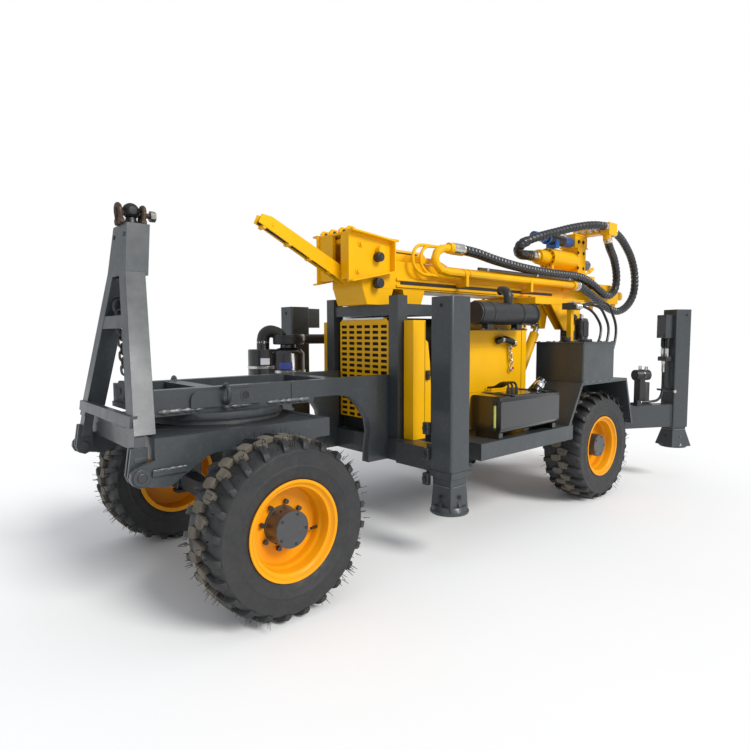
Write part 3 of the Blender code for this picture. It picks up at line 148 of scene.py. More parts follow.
def paint(name, colour, roughness, dust, dust_colour, coat=0.25, shine=0.5):
    """Sprayed paint: slow changes of tone, fine dust, a little orange peel."""
    material, tree, principled = shader(name, colour, roughness, coat=coat)
    principled.inputs["Specular IOR Level"].default_value = shine
    tone = between(tree, noise(tree, 2.3, 4.0), 0.3, 0.7, 0.0, 1.0)
    darker = tuple(0.84 * c for c in colour)
    base = blended(tree, tone, colour, darker)
    specks = between(tree, noise(tree, 38.0, 8.0, 0.7), 0.52, 0.78, 0.0, dust)
    base = blended(tree, specks, base, dust_colour)
    tree.links.new(base, principled.inputs["Base Color"])
    gloss = between(tree, noise(tree, 9.0, 6.0, 0.65), 0.3, 0.75, roughness - 0.07, roughness + 0.13)
    tree.links.new(gloss, principled.inputs["Roughness"])
    relief(tree, principled, noise(tree, 420.0, 2.0), 0.10, 0.0004)
    return material


def metal(name, colour, roughness, grime, grime_colour):
    """Bare or plated metal with fine scratches and grime in patches."""
    material, tree, principled = shader(name, colour, roughness, metallic=1.0)
    patches = between(tree, noise(tree, 30.0, 6.0, 0.7), 0.45, 0.7, 0.0, grime)
    tree.links.new(blended(tree, patches, colour, grime_colour), principled.inputs["Base Color"])
    gloss = between(tree, noise(tree, 90.0, 5.0), 0.3, 0.7, roughness * 0.7, roughness * 1.5)
    tree.links.new(gloss, principled.inputs["Roughness"])
    relief(tree, principled, noise(tree, 260.0, 3.0), 0.12, 0.0003)
    return material


def rubber(name, colour, dusty, roughness, share):
    """Moulded rubber, with dust that gathers in patches."""
    material, tree, principled = shader(name, colour, roughness)
    patches = between(tree, noise(tree, 14.0, 8.0, 0.7, 0.4), 0.42, 0.72, 0.0, share)
    tree.links.new(blended(tree, patches, colour, dusty), principled.inputs["Base Color"])
    gloss = between(tree, noise(tree, 45.0, 4.0), 0.3, 0.7, roughness - 0.12, roughness + 0.12)
    tree.links.new(gloss, principled.inputs["Roughness"])
    relief(tree, principled, noise(tree, 180.0, 5.0, 0.65), 0.25, 0.0008)
    return material


def flat_finish(name, colour, roughness, metallic=0.0, coat=0.0):
    """Plastic or glossy trim, with a slight change of tone and polish."""
    material, tree, principled = shader(name, colour, roughness, metallic, coat)
    tone = between(tree, noise(tree, 22.0, 5.0), 0.3, 0.7, 0.0, 1.0)
    lighter = tuple(min(1.0, 1.25 * c + 0.004) for c in colour)
    tree.links.new(blended(tree, tone, colour, lighter), principled.inputs["Base Color"])
    relief(tree, principled, noise(tree, 300.0, 3.0), 0.08, 0.0003)
    return material


class Finishes(dict):
    """The rig's materials by a short name, made when first asked for."""

    def __missing__(self, key):
        look = bpy.context.scene.rig_colours
        grey, yellow, amber = tuple(look.grey), tuple(look.yellow), tuple(look.rim)
        dust = (0.20, 0.19, 0.17)
        makers = {
            "grey": lambda: paint("chassis_grey", grey, 0.42, 0.16, dust),
            "yellow": lambda: paint("signal_yellow", yellow, 0.36, 0.05, (0.62, 0.30, 0.01), 0.05, 0.18),
            "rim": lambda: paint("rim_amber", amber, 0.36, 0.06, (0.35, 0.15, 0.01), 0.05, 0.18),
            "black": lambda: paint("gloss_black", (0.012, 0.012, 0.013), 0.20, 0.06, (0.08, 0.08, 0.08), 0.6),
            "satin": lambda: paint("satin_black", (0.018, 0.018, 0.019), 0.45, 0.15, (0.10, 0.10, 0.10), 0.1),
            "blue": lambda: paint("motor_blue", (0.004, 0.120, 0.46), 0.34, 0.06, (0.05, 0.12, 0.25)),
            "rubber": lambda: rubber("tyre_rubber", (0.020, 0.021, 0.0225), (0.060, 0.056, 0.050), 0.6, 0.3),
            "tread": lambda: rubber("tread_worn", (0.15, 0.13, 0.10), (0.055, 0.05, 0.045), 0.85, 0.8),
            "hose": lambda: rubber("hose_wrap", (0.014, 0.015, 0.017), (0.09, 0.09, 0.09), 0.30, 0.20),
            "cable": lambda: rubber("hose_black", (0.010, 0.010, 0.011), (0.04, 0.04, 0.04), 0.38, 0.3),
            "zinc": lambda: metal("zinc_plate", (0.62, 0.61, 0.58), 0.28, 0.35, (0.30, 0.28, 0.25)),
            "chrome": lambda: metal("chrome_rod", (0.80, 0.81, 0.82), 0.07, 0.05, (0.5, 0.5, 0.5)),
            "bolt": lambda: metal("dark_bolt", (0.10, 0.10, 0.105), 0.42, 0.5, (0.05, 0.045, 0.04)),
            "rust": lambda: metal("old_steel", (0.13, 0.095, 0.075), 0.62, 0.8, (0.07, 0.045, 0.035)),
            "dark": lambda: flat_finish("shadow_black", (0.006, 0.006, 0.006), 0.8),
            "core": lambda: flat_finish("cooler_core", (0.02, 0.02, 0.02), 0.55, 0.4),
            "sight": lambda: flat_finish("sight_tube", (0.55, 0.62, 0.12), 0.25, coat=0.6),
            "red": lambda: flat_finish("red_cap", (0.55, 0.02, 0.015), 0.35, coat=0.4),
            "hub": lambda: paint("hub_grey", (0.050, 0.052, 0.055), 0.40, 0.15, dust),
            "weld": lambda: paint("weld_grey", (0.12, 0.128, 0.132), 0.50, 0.45, (0.26, 0.26, 0.25)),
            "white": lambda: flat_finish("blank_label", (0.62, 0.64, 0.68), 0.35, coat=0.3),
            "marine": lambda: flat_finish("blank_label_blue", (0.045, 0.07, 0.30), 0.35, coat=0.3),
            "dark_steel": lambda: metal("dark_steel", (0.055, 0.058, 0.062), 0.45, 0.5, (0.09, 0.06, 0.045)),
            "steel_grey": lambda: metal("cast_steel", (0.33, 0.32, 0.30), 0.45, 0.6, (0.12, 0.11, 0.10)),
        }
        self[key] = makers[key]()
        return self[key]


FINISH = Finishes()

# Shapes, drawn in the rig's own axes


def soften(shape, parts, width, segments=2, affect="EDGES"):
    """Round edges over, or cut corners off with affect VERTICES."""
    bmesh.ops.bevel(shape, geom=parts, offset=width, offset_type="OFFSET", affect=affect,
                    segments=segments, profile=0.5, material=-1, clamp_overlap=True)


def facing(way):
    """A matrix that turns a shape drawn along +Z to face a way."""
    return way.to_track_quat("Z", "Y").to_matrix().to_4x4()


def slab(low, high, bevel=0.0, segments=2):
    """A block between two corners, with its edges rounded over."""
    shape = bmesh.new()
    low, high = Vector(low), Vector(high)
    made = bmesh.ops.create_cube(shape, size=1.0)["verts"]
    bmesh.ops.scale(shape, vec=high - low, verts=made)
    bmesh.ops.translate(shape, vec=(high + low) / 2, verts=made)
    if bevel:
        soften(shape, list(shape.edges), bevel, segments)
    return shape


def side_slab(side, x, y, z, bevel=0.0):
    """A block given by its ranges, with Y measured outwards on one side of the rig."""
    low, high = sorted((side * y[0], side * y[1]))
    return slab((x[0], low, z[0]), (x[1], high, z[1]), bevel)


def between_points(start, end):
    """A matrix that lays a shape drawn along +Z, centred, from start to end."""
    start, end = Vector(start), Vector(end)
    return Matrix.Translation((start + end) / 2) @ facing(end - start)


def rod(start, end, radius, sides=20, end_radius=None, bevel=0.0):
    """A round bar from start to end, tapered where it has an end radius."""
    shape = bmesh.new()
    length = (Vector(end) - Vector(start)).length
    bmesh.ops.create_cone(shape, cap_ends=True, segments=sides, radius1=radius,
                          radius2=radius if end_radius is None else end_radius, depth=length)
    if bevel:
        rims = [e for e in shape.edges if abs(e.verts[0].co.z - e.verts[1].co.z) < 1e-6]
        soften(shape, rims, bevel)
    bmesh.ops.transform(shape, matrix=between_points(start, end), verts=shape.verts)
    return shape


AXES = {
    "x": Matrix(((0, 0, 1), (1, 0, 0), (0, 1, 0))),
    "y": Matrix(((1, 0, 0), (0, 0, 1), (0, 1, 0))),
    "z": Matrix(((1, 0, 0), (0, 1, 0), (0, 0, 1))),
}


def flare(centre, low, high, low_half, high_half, bevel=0.0):
    """A four-sided skirt, wider at its foot."""
    shape = bmesh.new()
    bmesh.ops.create_cone(shape, cap_ends=True, segments=4, radius1=low_half * math.sqrt(2),
                          radius2=high_half * math.sqrt(2), depth=high - low)
    turn = Matrix.Translation((*centre, (low + high) / 2)) @ Matrix.Rotation(math.pi / 4, 4, "Z")
    bmesh.ops.transform(shape, matrix=turn, verts=shape.verts)
    if bevel:
        soften(shape, list(shape.edges), bevel)
    return shape


def run(axis, start, end, across):
    """The two ends of a straight line along one axis, given where it crosses the other two."""
    place = "xyz".index(axis)
    return [(*across[:place], value, *across[place:]) for value in (start, end)]


def collar(radius, half, thick, edge, centre, axis, steps):
    """A thin ring round an axis, with its outer corners drawn in by an edge."""
    outer = radius + thick
    profile = [(radius, -half), (outer, edge - half), (outer, half - edge), (radius, half), (radius, -half)]
    return spun(profile, centre, axis, steps)


def side_plate(side, outline, near, far, bevel=0.0):
    """A plate across Y, with its two faces measured outwards on one side of the rig."""
    return plate(outline, "y", *sorted((side * near, side * far)), bevel)


def band(start, end, radius, thick=0.003):
    """A short sleeve with rolled ends, such as a hose ferrule."""
    start, end = Vector(start), Vector(end)
    along = (end - start).normalized()
    length = (end - start).length
    points = [start + along * length * share for share in (0.0, 0.04, 0.12, 0.20, 0.80, 0.88, 0.96, 1.0)]
    swell = [0.90, 1.0, 1.0 - thick / radius, 1.0, 1.0, 1.0 - thick / radius, 1.0, 0.90]
    return tube(points, radius, 24, swell)


def plate(outline, axis, low, high, bevel=0.0):
    """An outline in the plane across an axis, given thickness from low to high along it."""
    shape = bmesh.new()
    turn = AXES[axis]
    face = shape.faces.new([shape.verts.new(turn @ Vector((a, b, low))) for a, b in outline])
    made = bmesh.ops.extrude_face_region(shape, geom=[face], use_keep_orig=True)["geom"]
    moved = [v for v in made if isinstance(v, bmesh.types.BMVert)]
    bmesh.ops.translate(shape, vec=turn @ Vector((0, 0, high - low)), verts=moved)
    bmesh.ops.recalc_face_normals(shape, faces=shape.faces)
    if bevel:
        sharp = [e for e in shape.edges if len(e.link_faces) == 2 and e.calc_face_angle(0) > 0.6]
        soften(shape, sharp, bevel)
    return shape


def spun(profile, centre, axis="y", steps=48, side=1):
    """A profile of (radius, place along the axis) turned once round."""
    shape = bmesh.new()
    turn = AXES[axis]
    verts = [shape.verts.new(turn @ Vector((r, 0.0, side * h))) for r, h in profile]
    edges = [shape.edges.new(pair) for pair in zip(verts, verts[1:])]
    bmesh.ops.spin(shape, geom=verts + edges, cent=(0, 0, 0), axis=turn @ Vector((0, 0, 1)),
                   angle=2 * math.pi, steps=steps, use_merge=True)
    bmesh.ops.remove_doubles(shape, verts=shape.verts, dist=1e-5)
    bmesh.ops.recalc_face_normals(shape, faces=shape.faces)
    bmesh.ops.translate(shape, vec=centre, verts=shape.verts)
    return shape


def smooth(points, step):
    """Points a step apart on one smooth curve through the given ones."""
    path = [Vector(p) for p in points]
    path = [2 * path[0] - path[1], *path, 2 * path[-1] - path[-2]]
    fine = []
    for a, b, c, d in zip(path, path[1:], path[2:], path[3:]):
        for k in range(24):
            t = k / 24
            fine.append(0.5 * (2 * b + (c - a) * t + (2 * a - 5 * b + 4 * c - d) * t ** 2
                               + (3 * b - 3 * c + d - a) * t ** 3))
    fine.append(path[-2])
    travelled = [0.0]
    for a, b in zip(fine, fine[1:]):
        travelled.append(travelled[-1] + (b - a).length)
    count = max(2, round(travelled[-1] / step))
    spread = []
    k = 0
    for i in range(count + 1):
        goal = travelled[-1] * i / count
        while k < len(fine) - 2 and travelled[k + 1] < goal:
            k += 1
        share = (goal - travelled[k]) / max(1e-9, travelled[k + 1] - travelled[k])
        spread.append(fine[k].lerp(fine[k + 1], min(1.0, share)))
    return spread


def tube(points, radius, sides=12, swell=None, closed=False):
    """A round tube along points. swell gives each point's share of the radius."""
    curve = bpy.data.curves.new("route", "CURVE")
    curve.dimensions = "3D"
    curve.bevel_depth = radius
    curve.bevel_resolution = max(0, sides // 4)
    curve.use_fill_caps = not closed
    line = curve.splines.new("POLY")
    line.points.add(len(points) - 1)
    line.use_cyclic_u = closed
    for i, point in enumerate(points):
        line.points[i].co = (*point, 1.0)
        line.points[i].radius = 1.0 if swell is None else swell[i]
    holder = bpy.data.objects.new("route", curve)
    bpy.context.scene.collection.objects.link(holder)
    mesh = bpy.data.meshes.new_from_object(holder.evaluated_get(bpy.context.evaluated_depsgraph_get()))
    shape = bmesh.new()
    shape.from_mesh(mesh)
    bpy.data.objects.remove(holder)
    bpy.data.curves.remove(curve)
    bpy.data.meshes.remove(mesh)
    bmesh.ops.remove_doubles(shape, verts=shape.verts, dist=1e-6)
    return shape


def arc(centre, radius, begin, end, steps):
    """Points round part of a circle, between two angles in degrees."""
    turns = [math.radians(begin + (end - begin) * k / steps) for k in range(steps + 1)]
    return [(centre[0] + radius * math.cos(t), centre[1] + radius * math.sin(t)) for t in turns]


def patch(centre, radius, begin, end, low, high):
    """A thin label wrapped on an upright can."""
    outer = arc(centre, radius + 0.0012, begin, end, 8)
    inner = arc(centre, radius - 0.0010, begin, end, 8)
    return plate([tuple(p) for p in outer] + [tuple(p) for p in reversed(inner)], "z", low, high)


def screw(head, way, radius=0.010, height=0.007, washer=True):
    """A hexagon bolt head on its washer; way points out of the face it sits on."""
    head, way = Vector(head), Vector(way).normalized()
    shape = bmesh.new()
    bmesh.ops.create_cone(shape, cap_ends=True, segments=6, radius1=radius, radius2=radius * 0.96,
                          depth=height)
    bmesh.ops.translate(shape, vec=(0, 0, height / 2), verts=shape.verts)
    if washer:
        disc = bmesh.ops.create_cone(shape, cap_ends=True, segments=14, radius1=radius * 1.45,
                                     radius2=radius * 1.4, depth=height * 0.3)["verts"]
        bmesh.ops.translate(shape, vec=(0, 0, height * 0.12), verts=disc)
    bmesh.ops.transform(shape, matrix=Matrix.Translation(head) @ facing(way), verts=shape.verts)
    return shape


def level_faces(work, limit):
    """The faces whose smoothly joined neighbours are all far smaller: flats beside a rounded edge."""
    areas = {face: face.calc_area() for face in work.faces}
    level = set()
    for face, area in areas.items():
        if area < 1e-4:
            continue
        joined = [other for edge in face.edges
                  if len(edge.link_faces) == 2 and 0.05 < edge.calc_face_angle(0) < limit
                  for other in edge.link_faces if other is not face]
        if all(areas[other] < 0.35 * area for other in joined):
            level.add(face)
    return level


class Piece:
    """Gathers shapes, each with its finish, and turns them into one object that rides on a body."""

    def __init__(self, name, body, *finishes):
        self.name = name
        self.body = body
        self.finishes = finishes or ("grey",)
        self.work = bmesh.new()

    def add(self, shape, finish=None, matrix=None):
        """Add a shape in one of the piece's finishes, which is the first where none is named."""
        slot = self.finishes.index(finish) if finish else 0
        if matrix is not None:
            bmesh.ops.transform(shape, matrix=matrix, verts=shape.verts)
        for face in shape.faces:
            face.material_index = slot
        mesh = bpy.data.meshes.new("shape")
        shape.to_mesh(mesh)
        shape.free()
        self.work.from_mesh(mesh)
        bpy.data.meshes.remove(mesh)

    def add_all(self, shapes, finish=None, matrix=None):
        for shape in shapes:
            self.add(shape, finish, matrix)

    def done(self, *replaced, sharp=32.0):
        """Make the object. The sharp angle, in degrees, is where its shading breaks."""
        bmesh.ops.translate(self.work, vec=PLACE, verts=self.work.verts)
        level = level_faces(self.work, math.radians(sharp))
        rounded = [face not in level for face in self.work.faces]
        mesh = bpy.data.meshes.new(self.name)
        self.work.to_mesh(mesh)
        self.work.free()
        mesh.set_sharp_from_angle(angle=math.radians(sharp))
        mesh.polygons.foreach_set("use_smooth", rounded)
        for key in self.finishes:
            mesh.materials.append(FINISH[key])
        piece = bpy.data.objects.new(self.name, mesh)
        bpy.context.scene.collection.objects.link(piece)
        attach(piece, self.body)
        if replaced:
            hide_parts(*replaced)
        return piece


def dressed(node, finish, width, *more):
    """The node's own shape with its sharp edges rounded over, and its finish."""
    solid = FRAME["nodes"][node]
    shape = bmesh.new()
    shape.from_mesh(solid.data)
    bmesh.ops.remove_doubles(shape, verts=shape.verts, dist=2e-5)
    bmesh.ops.dissolve_limit(shape, angle_limit=math.radians(1.0), verts=shape.verts, edges=shape.edges)
    if width:
        sharp = [e for e in shape.edges if len(e.link_faces) == 2 and e.calc_face_angle(0) > math.radians(40)]
        soften(shape, sharp, width)
    bmesh.ops.translate(shape, vec=-PLACE, verts=shape.verts)
    piece = Piece(node + "_surface", solid["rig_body"], finish, *more)
    piece.add(shape)
    return piece


def plain(node, finish, width, *more):
    """A node that only needs its edges softened and its finish."""
    return dressed(node, finish, width, *more).done(node)


def bead(start, end, radius, wobble=0.25, seed=0):
    """A weld laid along a joint: a thin bar with the ripples of a hand weld."""
    start, end = Vector(start), Vector(end)
    rng = random.Random(seed)
    count = max(3, round((end - start).length / (radius * 1.2)))
    swell = [0.4] + [1.0 + wobble * rng.uniform(-1, 1) for _ in range(count - 1)] + [0.4]
    return tube([start.lerp(end, k / count) for k in range(count + 1)], radius, 8, swell)


def ring_of(count, centre, radius, axis, way, head, height, begin=0.0):
    """Bolt heads spread round a circle across an axis."""
    heads = []
    for k in range(count):
        turn = math.radians(begin) + 2 * math.pi * k / count
        spot = AXES[axis] @ Vector((radius * math.cos(turn), radius * math.sin(turn), 0.0))
        heads.append(screw(Vector(centre) + spot, way, head, height, washer=False))
    return heads


# Sizes and colours that a user would change


class RigColours(bpy.types.PropertyGroup):
    grey: bpy.props.FloatVectorProperty(
        name="Chassis grey", description="Paint of the chassis, legs and drawbar", subtype="COLOR",
        default=(0.040, 0.048, 0.053), min=0.0, max=1.0)
    yellow: bpy.props.FloatVectorProperty(
        name="Mast yellow", description="Paint of the mast, panels and grille", subtype="COLOR",
        default=(0.95, 0.49, 0.0015), min=0.0, max=1.0)
    rim: bpy.props.FloatVectorProperty(
        name="Rim paint", description="Paint of the wheel rims", subtype="COLOR",
        default=(0.90, 0.36, 0.006), min=0.0, max=1.0)


class RigSizes(bpy.types.PropertyGroup):
    lugs: bpy.props.IntProperty(
        name="Lugs a side", description="Tread bars on each half of a tyre", default=24, min=12, max=36)
    hairs: bpy.props.IntProperty(
        name="Vent hairs", description="Moulding hairs left on each new tyre", default=230, min=0, max=400)
    hair: bpy.props.FloatProperty(
        name="Hair length", description="Length of the longest moulding hair", default=0.042, unit="LENGTH")
    hose: bpy.props.FloatProperty(
        name="Hose radius", description="Radius of the three wrapped hoses", default=0.036, unit="LENGTH")
    wrap: bpy.props.FloatProperty(
        name="Wrap pitch", description="Length along a hose of one turn of its wrap", default=0.040,
        unit="LENGTH")
    edge: bpy.props.FloatProperty(
        name="Edge radius", description="Rounding of the chassis tubes' corners", default=0.005,
        unit="LENGTH")


# The camera: its place, its turn in degrees to the side, down and over, and its lens in mm
VIEW_PLACE = Vector((1.3001, 2.7989, 1.2736))
VIEW_ANGLES = (-131.200, 4.263, -0.147)
VIEW_LENS = 26.73744


class RIG_OT_stage(bpy.types.Operator):
    """Floor, daylight and the camera"""
    bl_idname = "rig.stage"
    bl_label = "Stage"

    def execute(self, context):
        scene = context.scene
        scene.view_settings.view_transform = "Standard"
        world = bpy.data.worlds.new("soft_sky")
        scene.world = world
        world.use_nodes = True
        nodes, links = world.node_tree.nodes, world.node_tree.links
        sky = nodes["Background"]
        sky.inputs["Color"].default_value = (0.93, 0.96, 1.0, 1.0)
        sky.inputs["Strength"].default_value = 0.62
        seen = nodes.new("ShaderNodeBackground")
        seen.inputs["Color"].default_value = (1.0, 1.0, 1.0, 1.0)
        seen.inputs["Strength"].default_value = 1.0
        path = nodes.new("ShaderNodeLightPath")
        mix = nodes.new("ShaderNodeMixShader")
        links.new(path.outputs["Is Camera Ray"], mix.inputs["Fac"])
        links.new(sky.outputs["Background"], mix.inputs[1])
        links.new(seen.outputs["Background"], mix.inputs[2])
        links.new(mix.outputs["Shader"], nodes["World Output"].inputs["Surface"])

        ground = bmesh.new()
        bmesh.ops.create_grid(ground, x_segments=8, y_segments=8, size=60.0)
        mesh = bpy.data.meshes.new("floor")
        ground.to_mesh(mesh)
        ground.free()
        floor = bpy.data.objects.new("floor", mesh)
        scene.collection.objects.link(floor)
        material, tree, principled = shader("pale_floor", (0.99, 0.99, 0.99), 0.9)
        principled.inputs["Specular IOR Level"].default_value = 0.0
        tone = between(tree, noise(tree, 0.8, 3.0), 0.3, 0.7, 0.0, 1.0)
        shade = blended(tree, tone, (1.0, 1.0, 1.0), (0.985, 0.985, 0.985))
        tree.links.new(shade, principled.inputs["Base Color"])
        mesh.materials.append(material)

        sun = bpy.data.lights.new("daylight", "SUN")
        sun.energy = 2.4
        sun.angle = math.radians(24)
        sun.color = (1.0, 0.985, 0.96)
        lamp = bpy.data.objects.new("daylight", sun)
        scene.collection.objects.link(lamp)
        lamp.rotation_euler = Vector((-0.14, 0.79, 0.60)).to_track_quat("Z", "Y").to_euler()

        lens = bpy.data.cameras.new("view")
        lens.sensor_width = 36.0
        lens.lens = VIEW_LENS
        lens.clip_end = 400.0
        camera = bpy.data.objects.new("view", lens)
        scene.collection.objects.link(camera)
        yaw, pitch, roll = (math.radians(angle) for angle in VIEW_ANGLES)
        ahead = Vector((math.cos(yaw) * math.cos(pitch), math.sin(yaw) * math.cos(pitch), -math.sin(pitch)))
        right = Vector((math.sin(yaw), -math.cos(yaw), 0.0))
        up = right.cross(ahead)
        across = math.cos(roll) * right + math.sin(roll) * up
        upward = -math.sin(roll) * right + math.cos(roll) * up
        turn = Matrix((across, upward, -ahead)).transposed()
        camera.matrix_world = Matrix.Translation(VIEW_PLACE + PLACE) @ turn.to_4x4()
        scene.camera = camera
        return {"FINISHED"}


# Wheels


def wheel_place(x, side):
    """Where a wheel stands, with its outer face turned away from the rig."""
    turn = Matrix.Rotation(0.0 if side > 0 else math.pi, 4, "Z")
    return Matrix.Translation((x, side * TRACK, AXLE_Z)) @ turn


def tyre_carcass():
    """The tyre's walls and its tread without the lugs."""
    half = [(0.2105, 0.100), (0.2105, 0.1185), (0.2240, 0.1245), (0.2330, 0.1310), (0.2600, 0.1420),
            (0.2790, 0.1450), (0.2830, 0.1475), (0.2890, 0.1480), (0.2930, 0.1462), (0.3200, 0.1465),
            (0.3400, 0.1460), (0.3470, 0.1478), (0.3540, 0.1478), (0.3590, 0.1445), (0.3640, 0.1380),
            (0.3730, 0.1250), (0.3790, 0.1000), (0.3820, 0.0500), (0.3830, 0.0000)]
    other = [(r, -h) for r, h in reversed(half[:-1])]
    return spun(half + other + [half[0]], (0, 0, 0), "y", 96)


def lug_shapes(count):
    """Each lug is a worn block by the middle and a bar that runs over the shoulder."""
    shapes = []
    block = [(-0.023, -0.010), (0.019, -0.010), (0.031, 0.016), (0.031, 0.046), (0.022, 0.060),
             (-0.010, 0.064), (-0.021, 0.040)]
    over = [(0.052, 0.374), (0.052, 0.3990), (0.090, 0.4000), (0.117, 0.3965), (0.136, 0.3870),
            (0.1465, 0.3700), (0.1480, 0.3560), (0.1400, 0.3560)]
    for half in (1, -1):
        for k in range(count):
            turn = Matrix.Rotation(2 * math.pi * (k + (0.5 if half < 0 else 0.0)) / count, 4, "Y")
            pad = plate([(u, v * half) for u, v in block], "z", 0.374, 0.4045, 0.0035)
            bar = plate([(v * half, z) for v, z in over], "x", 0.001, 0.031, 0.0025)
            lean = Matrix.Identity(4)
            lean[0][1] = 0.30 * half
            lean[0][3] = -0.30 * 0.045
            shapes.append((pad, "tread", turn))
            shapes.append((bar, "rubber", turn @ lean))
    return shapes


def hair_shapes(count, length, seed):
    """Thin moulding hairs standing on the tread's outer edges, none of them under the wheel."""
    rng = random.Random(seed)
    shapes = []
    for _ in range(count):
        turn = rng.uniform(0, 2 * math.pi)
        if math.cos(turn) < -0.93:
            continue
        half = rng.choice((1, 1, -1))
        out = rng.choice((0.0, 0.5, 1.0))
        start = Vector((0.0, half * (0.060 + 0.080 * out), 0.398 - 0.020 * out))
        way = Vector((rng.uniform(-0.25, 0.25), half * (0.10 + 0.45 * out), 1.0)).normalized()
        end = start + way * length * rng.uniform(0.45, 1.0)
        hair = rod(start, end, 0.0020, 4, 0.0010)
        shapes.append((hair, "cable", Matrix.Rotation(turn, 4, "Y")))
    return shapes


class RIG_OT_tyres(bpy.types.Operator):
    """Four lug tyres with ribbed side walls, worn centre blocks and moulding hairs"""
    bl_idname = "rig.tyres"
    bl_label = "Tyres"

    def execute(self, context):
        sizes = context.scene.rig_sizes
        for seed, (label, x, side) in enumerate(WHEELS):
            place = wheel_place(x, side)
            tyre = Piece("lug_tyre_" + label, "wheel_" + label, "rubber", "tread", "cable")
            tyre.add(tyre_carcass(), "rubber", place)
            for shape, finish, turn in lug_shapes(sizes.lugs):
                tyre.add(shape, finish, place @ turn)
            for shape, finish, turn in hair_shapes(sizes.hairs, sizes.hair, seed):
                tyre.add(shape, finish, place @ turn)
            tyre.done("tyre_" + label, sharp=30)
        return {"FINISHED"}


def rim_shell():
    """The rim's sheet with its dish, turned round the axle."""
    lip = [(0.2268, 0.1300), (0.2268, 0.1350), (0.2245, 0.1368), (0.2190, 0.1370)]
    dish = [(0.2130, 0.1340), (0.2060, 0.1220), (0.1980, 0.1160), (0.1915, 0.1140), (0.1890, 0.1090),
            (0.1880, 0.0720), (0.1860, 0.0660), (0.1790, 0.0580), (0.1765, 0.0520), (0.1755, 0.0215),
            (0.1710, 0.0150), (0.1500, 0.0130), (0.1250, 0.0130), (0.0900, 0.0120), (0.0, 0.0120)]
    back = [(0.0, -0.004), (0.0365, -0.004), (0.0365, -0.060), (0.065, -0.060), (0.065, 0.000),
            (0.150, 0.004), (0.2032, -0.020), (0.2032, -0.1335), (0.2190, -0.1370), (0.2245, -0.1368),
            (0.2268, -0.1350), (0.2268, -0.1300), (0.2240, -0.1275), (0.2095, -0.1275), (0.2095, 0.1275),
            (0.2240, 0.1275)]
    return spun(back + lip + dish, (0, 0, 0), "y", 72)


class RIG_OT_rims(bpy.types.Operator):
    """Dished rims with wheel nuts, a valve and a bolted hub cap"""
    bl_idname = "rig.rims"
    bl_label = "Rims"

    def execute(self, context):
        cap = [(0.0, 0.008), (0.0880, 0.008), (0.0880, 0.0200), (0.0865, 0.0225), (0.0840, 0.0235),
               (0.0840, 0.1070), (0.0825, 0.1092), (0.0750, 0.1100), (0.0, 0.1100)]
        for label, x, side in WHEELS:
            place = wheel_place(x, side)
            rim = Piece("dished_rim_" + label, "wheel_" + label, "rim", "satin", "bolt", "hub")
            rim.add(rim_shell(), "rim", place)
            rim.add(spun(cap, (0, 0, 0), "y", 40), "hub", place)
            for count, y, radius, head, height, begin, finish in (
                    (8, 0.0130, 0.1060, 0.0165, 0.004, 11, "rim"),
                    (8, 0.0165, 0.1060, 0.0125, 0.016, 11, "bolt"),
                    (5, 0.1095, 0.0690, 0.0060, 0.004, 40, "satin")):
                bolts = ring_of(count, (0, y, 0), radius, "y", (0, 1, 0), head, height, begin)
                rim.add_all(bolts, finish, place)
            for turn in (1.2, 2.6, 4.1, 5.5):
                spot = Vector((0.0838 * math.cos(turn), 0.064, 0.0838 * math.sin(turn)))
                rim.add(screw(spot, (math.cos(turn), 0, math.sin(turn)), 0.006, 0.004, False), "satin", place)
            turn = Matrix.Rotation(math.radians(166), 4, "Y")
            rim.add(rod((0.1765, 0.044, 0), (0.145, 0.062, 0), 0.0075, 12), "satin", place @ turn)
            rim.add(rod((0.147, 0.061, 0), (0.122, 0.076, 0), 0.0055, 10), "bolt", place @ turn)
            rim.done("rim_" + label)
        return {"FINISHED"}


# Dolly and drawbar

# The drawbar's pin runs along Y: its x and z
FOLD_PIN = (0.541, 0.685)


class RIG_OT_dolly(bpy.types.Operator):
    """Front axle frame with its turntable ring and bolts"""
    bl_idname = "rig.dolly"
    bl_label = "Dolly"

    def execute(self, context):
        edge = context.scene.rig_sizes.edge
        dolly = dressed("dolly_frame", "grey", edge * 0.7, "weld", "satin", "bolt")
        dolly.add_all(ring_of(20, (0, 0, 0.8365), 0.383, "z", (0, 0, 1), 0.0090, 0.008, 5), "bolt")
        dolly.add(spun([(0.250, 0.8365), (0.392, 0.8365), (0.392, 0.8440), (0.250, 0.8440), (0.250, 0.8365)],
                       (0, 0, 0), "z", 64), "satin")
        for side, _ in SIDES:
            dolly.add(side_slab(side, (0.350, 0.500), (0.4785, 0.4900), (0.682, 0.708), 0.004))
            dolly.add(bead(*run("x", 0.498, 0.352, (side * 0.4898, 0.7095)), 0.0040, 0.45, 4), "weld")
            dolly.add(rod(*run("y", side * 0.478, side * 0.486, FOLD_PIN), 0.036, 24, bevel=0.002))
        dolly.done("dolly_frame")
        for node, x, top in (("front_axle", 0.0, 0.735), ("rear_axle", REAR_AXLE, 0.490)):
            axle = dressed(node, "grey", 0.004, "satin", "bolt")
            for side, _ in SIDES:
                y = side * 0.370
                for dx in (-0.060, 0.060):
                    axle.add(rod(*run("z", AXLE_Z - 0.070, top, (x + dx, y)), 0.008, 12), "bolt")
                axle.add(slab((x - 0.078, y - 0.036, AXLE_Z - 0.062),
                              (x + 0.078, y + 0.036, AXLE_Z - 0.044), 0.003), "satin")
            axle.done(node)
        return {"FINISHED"}


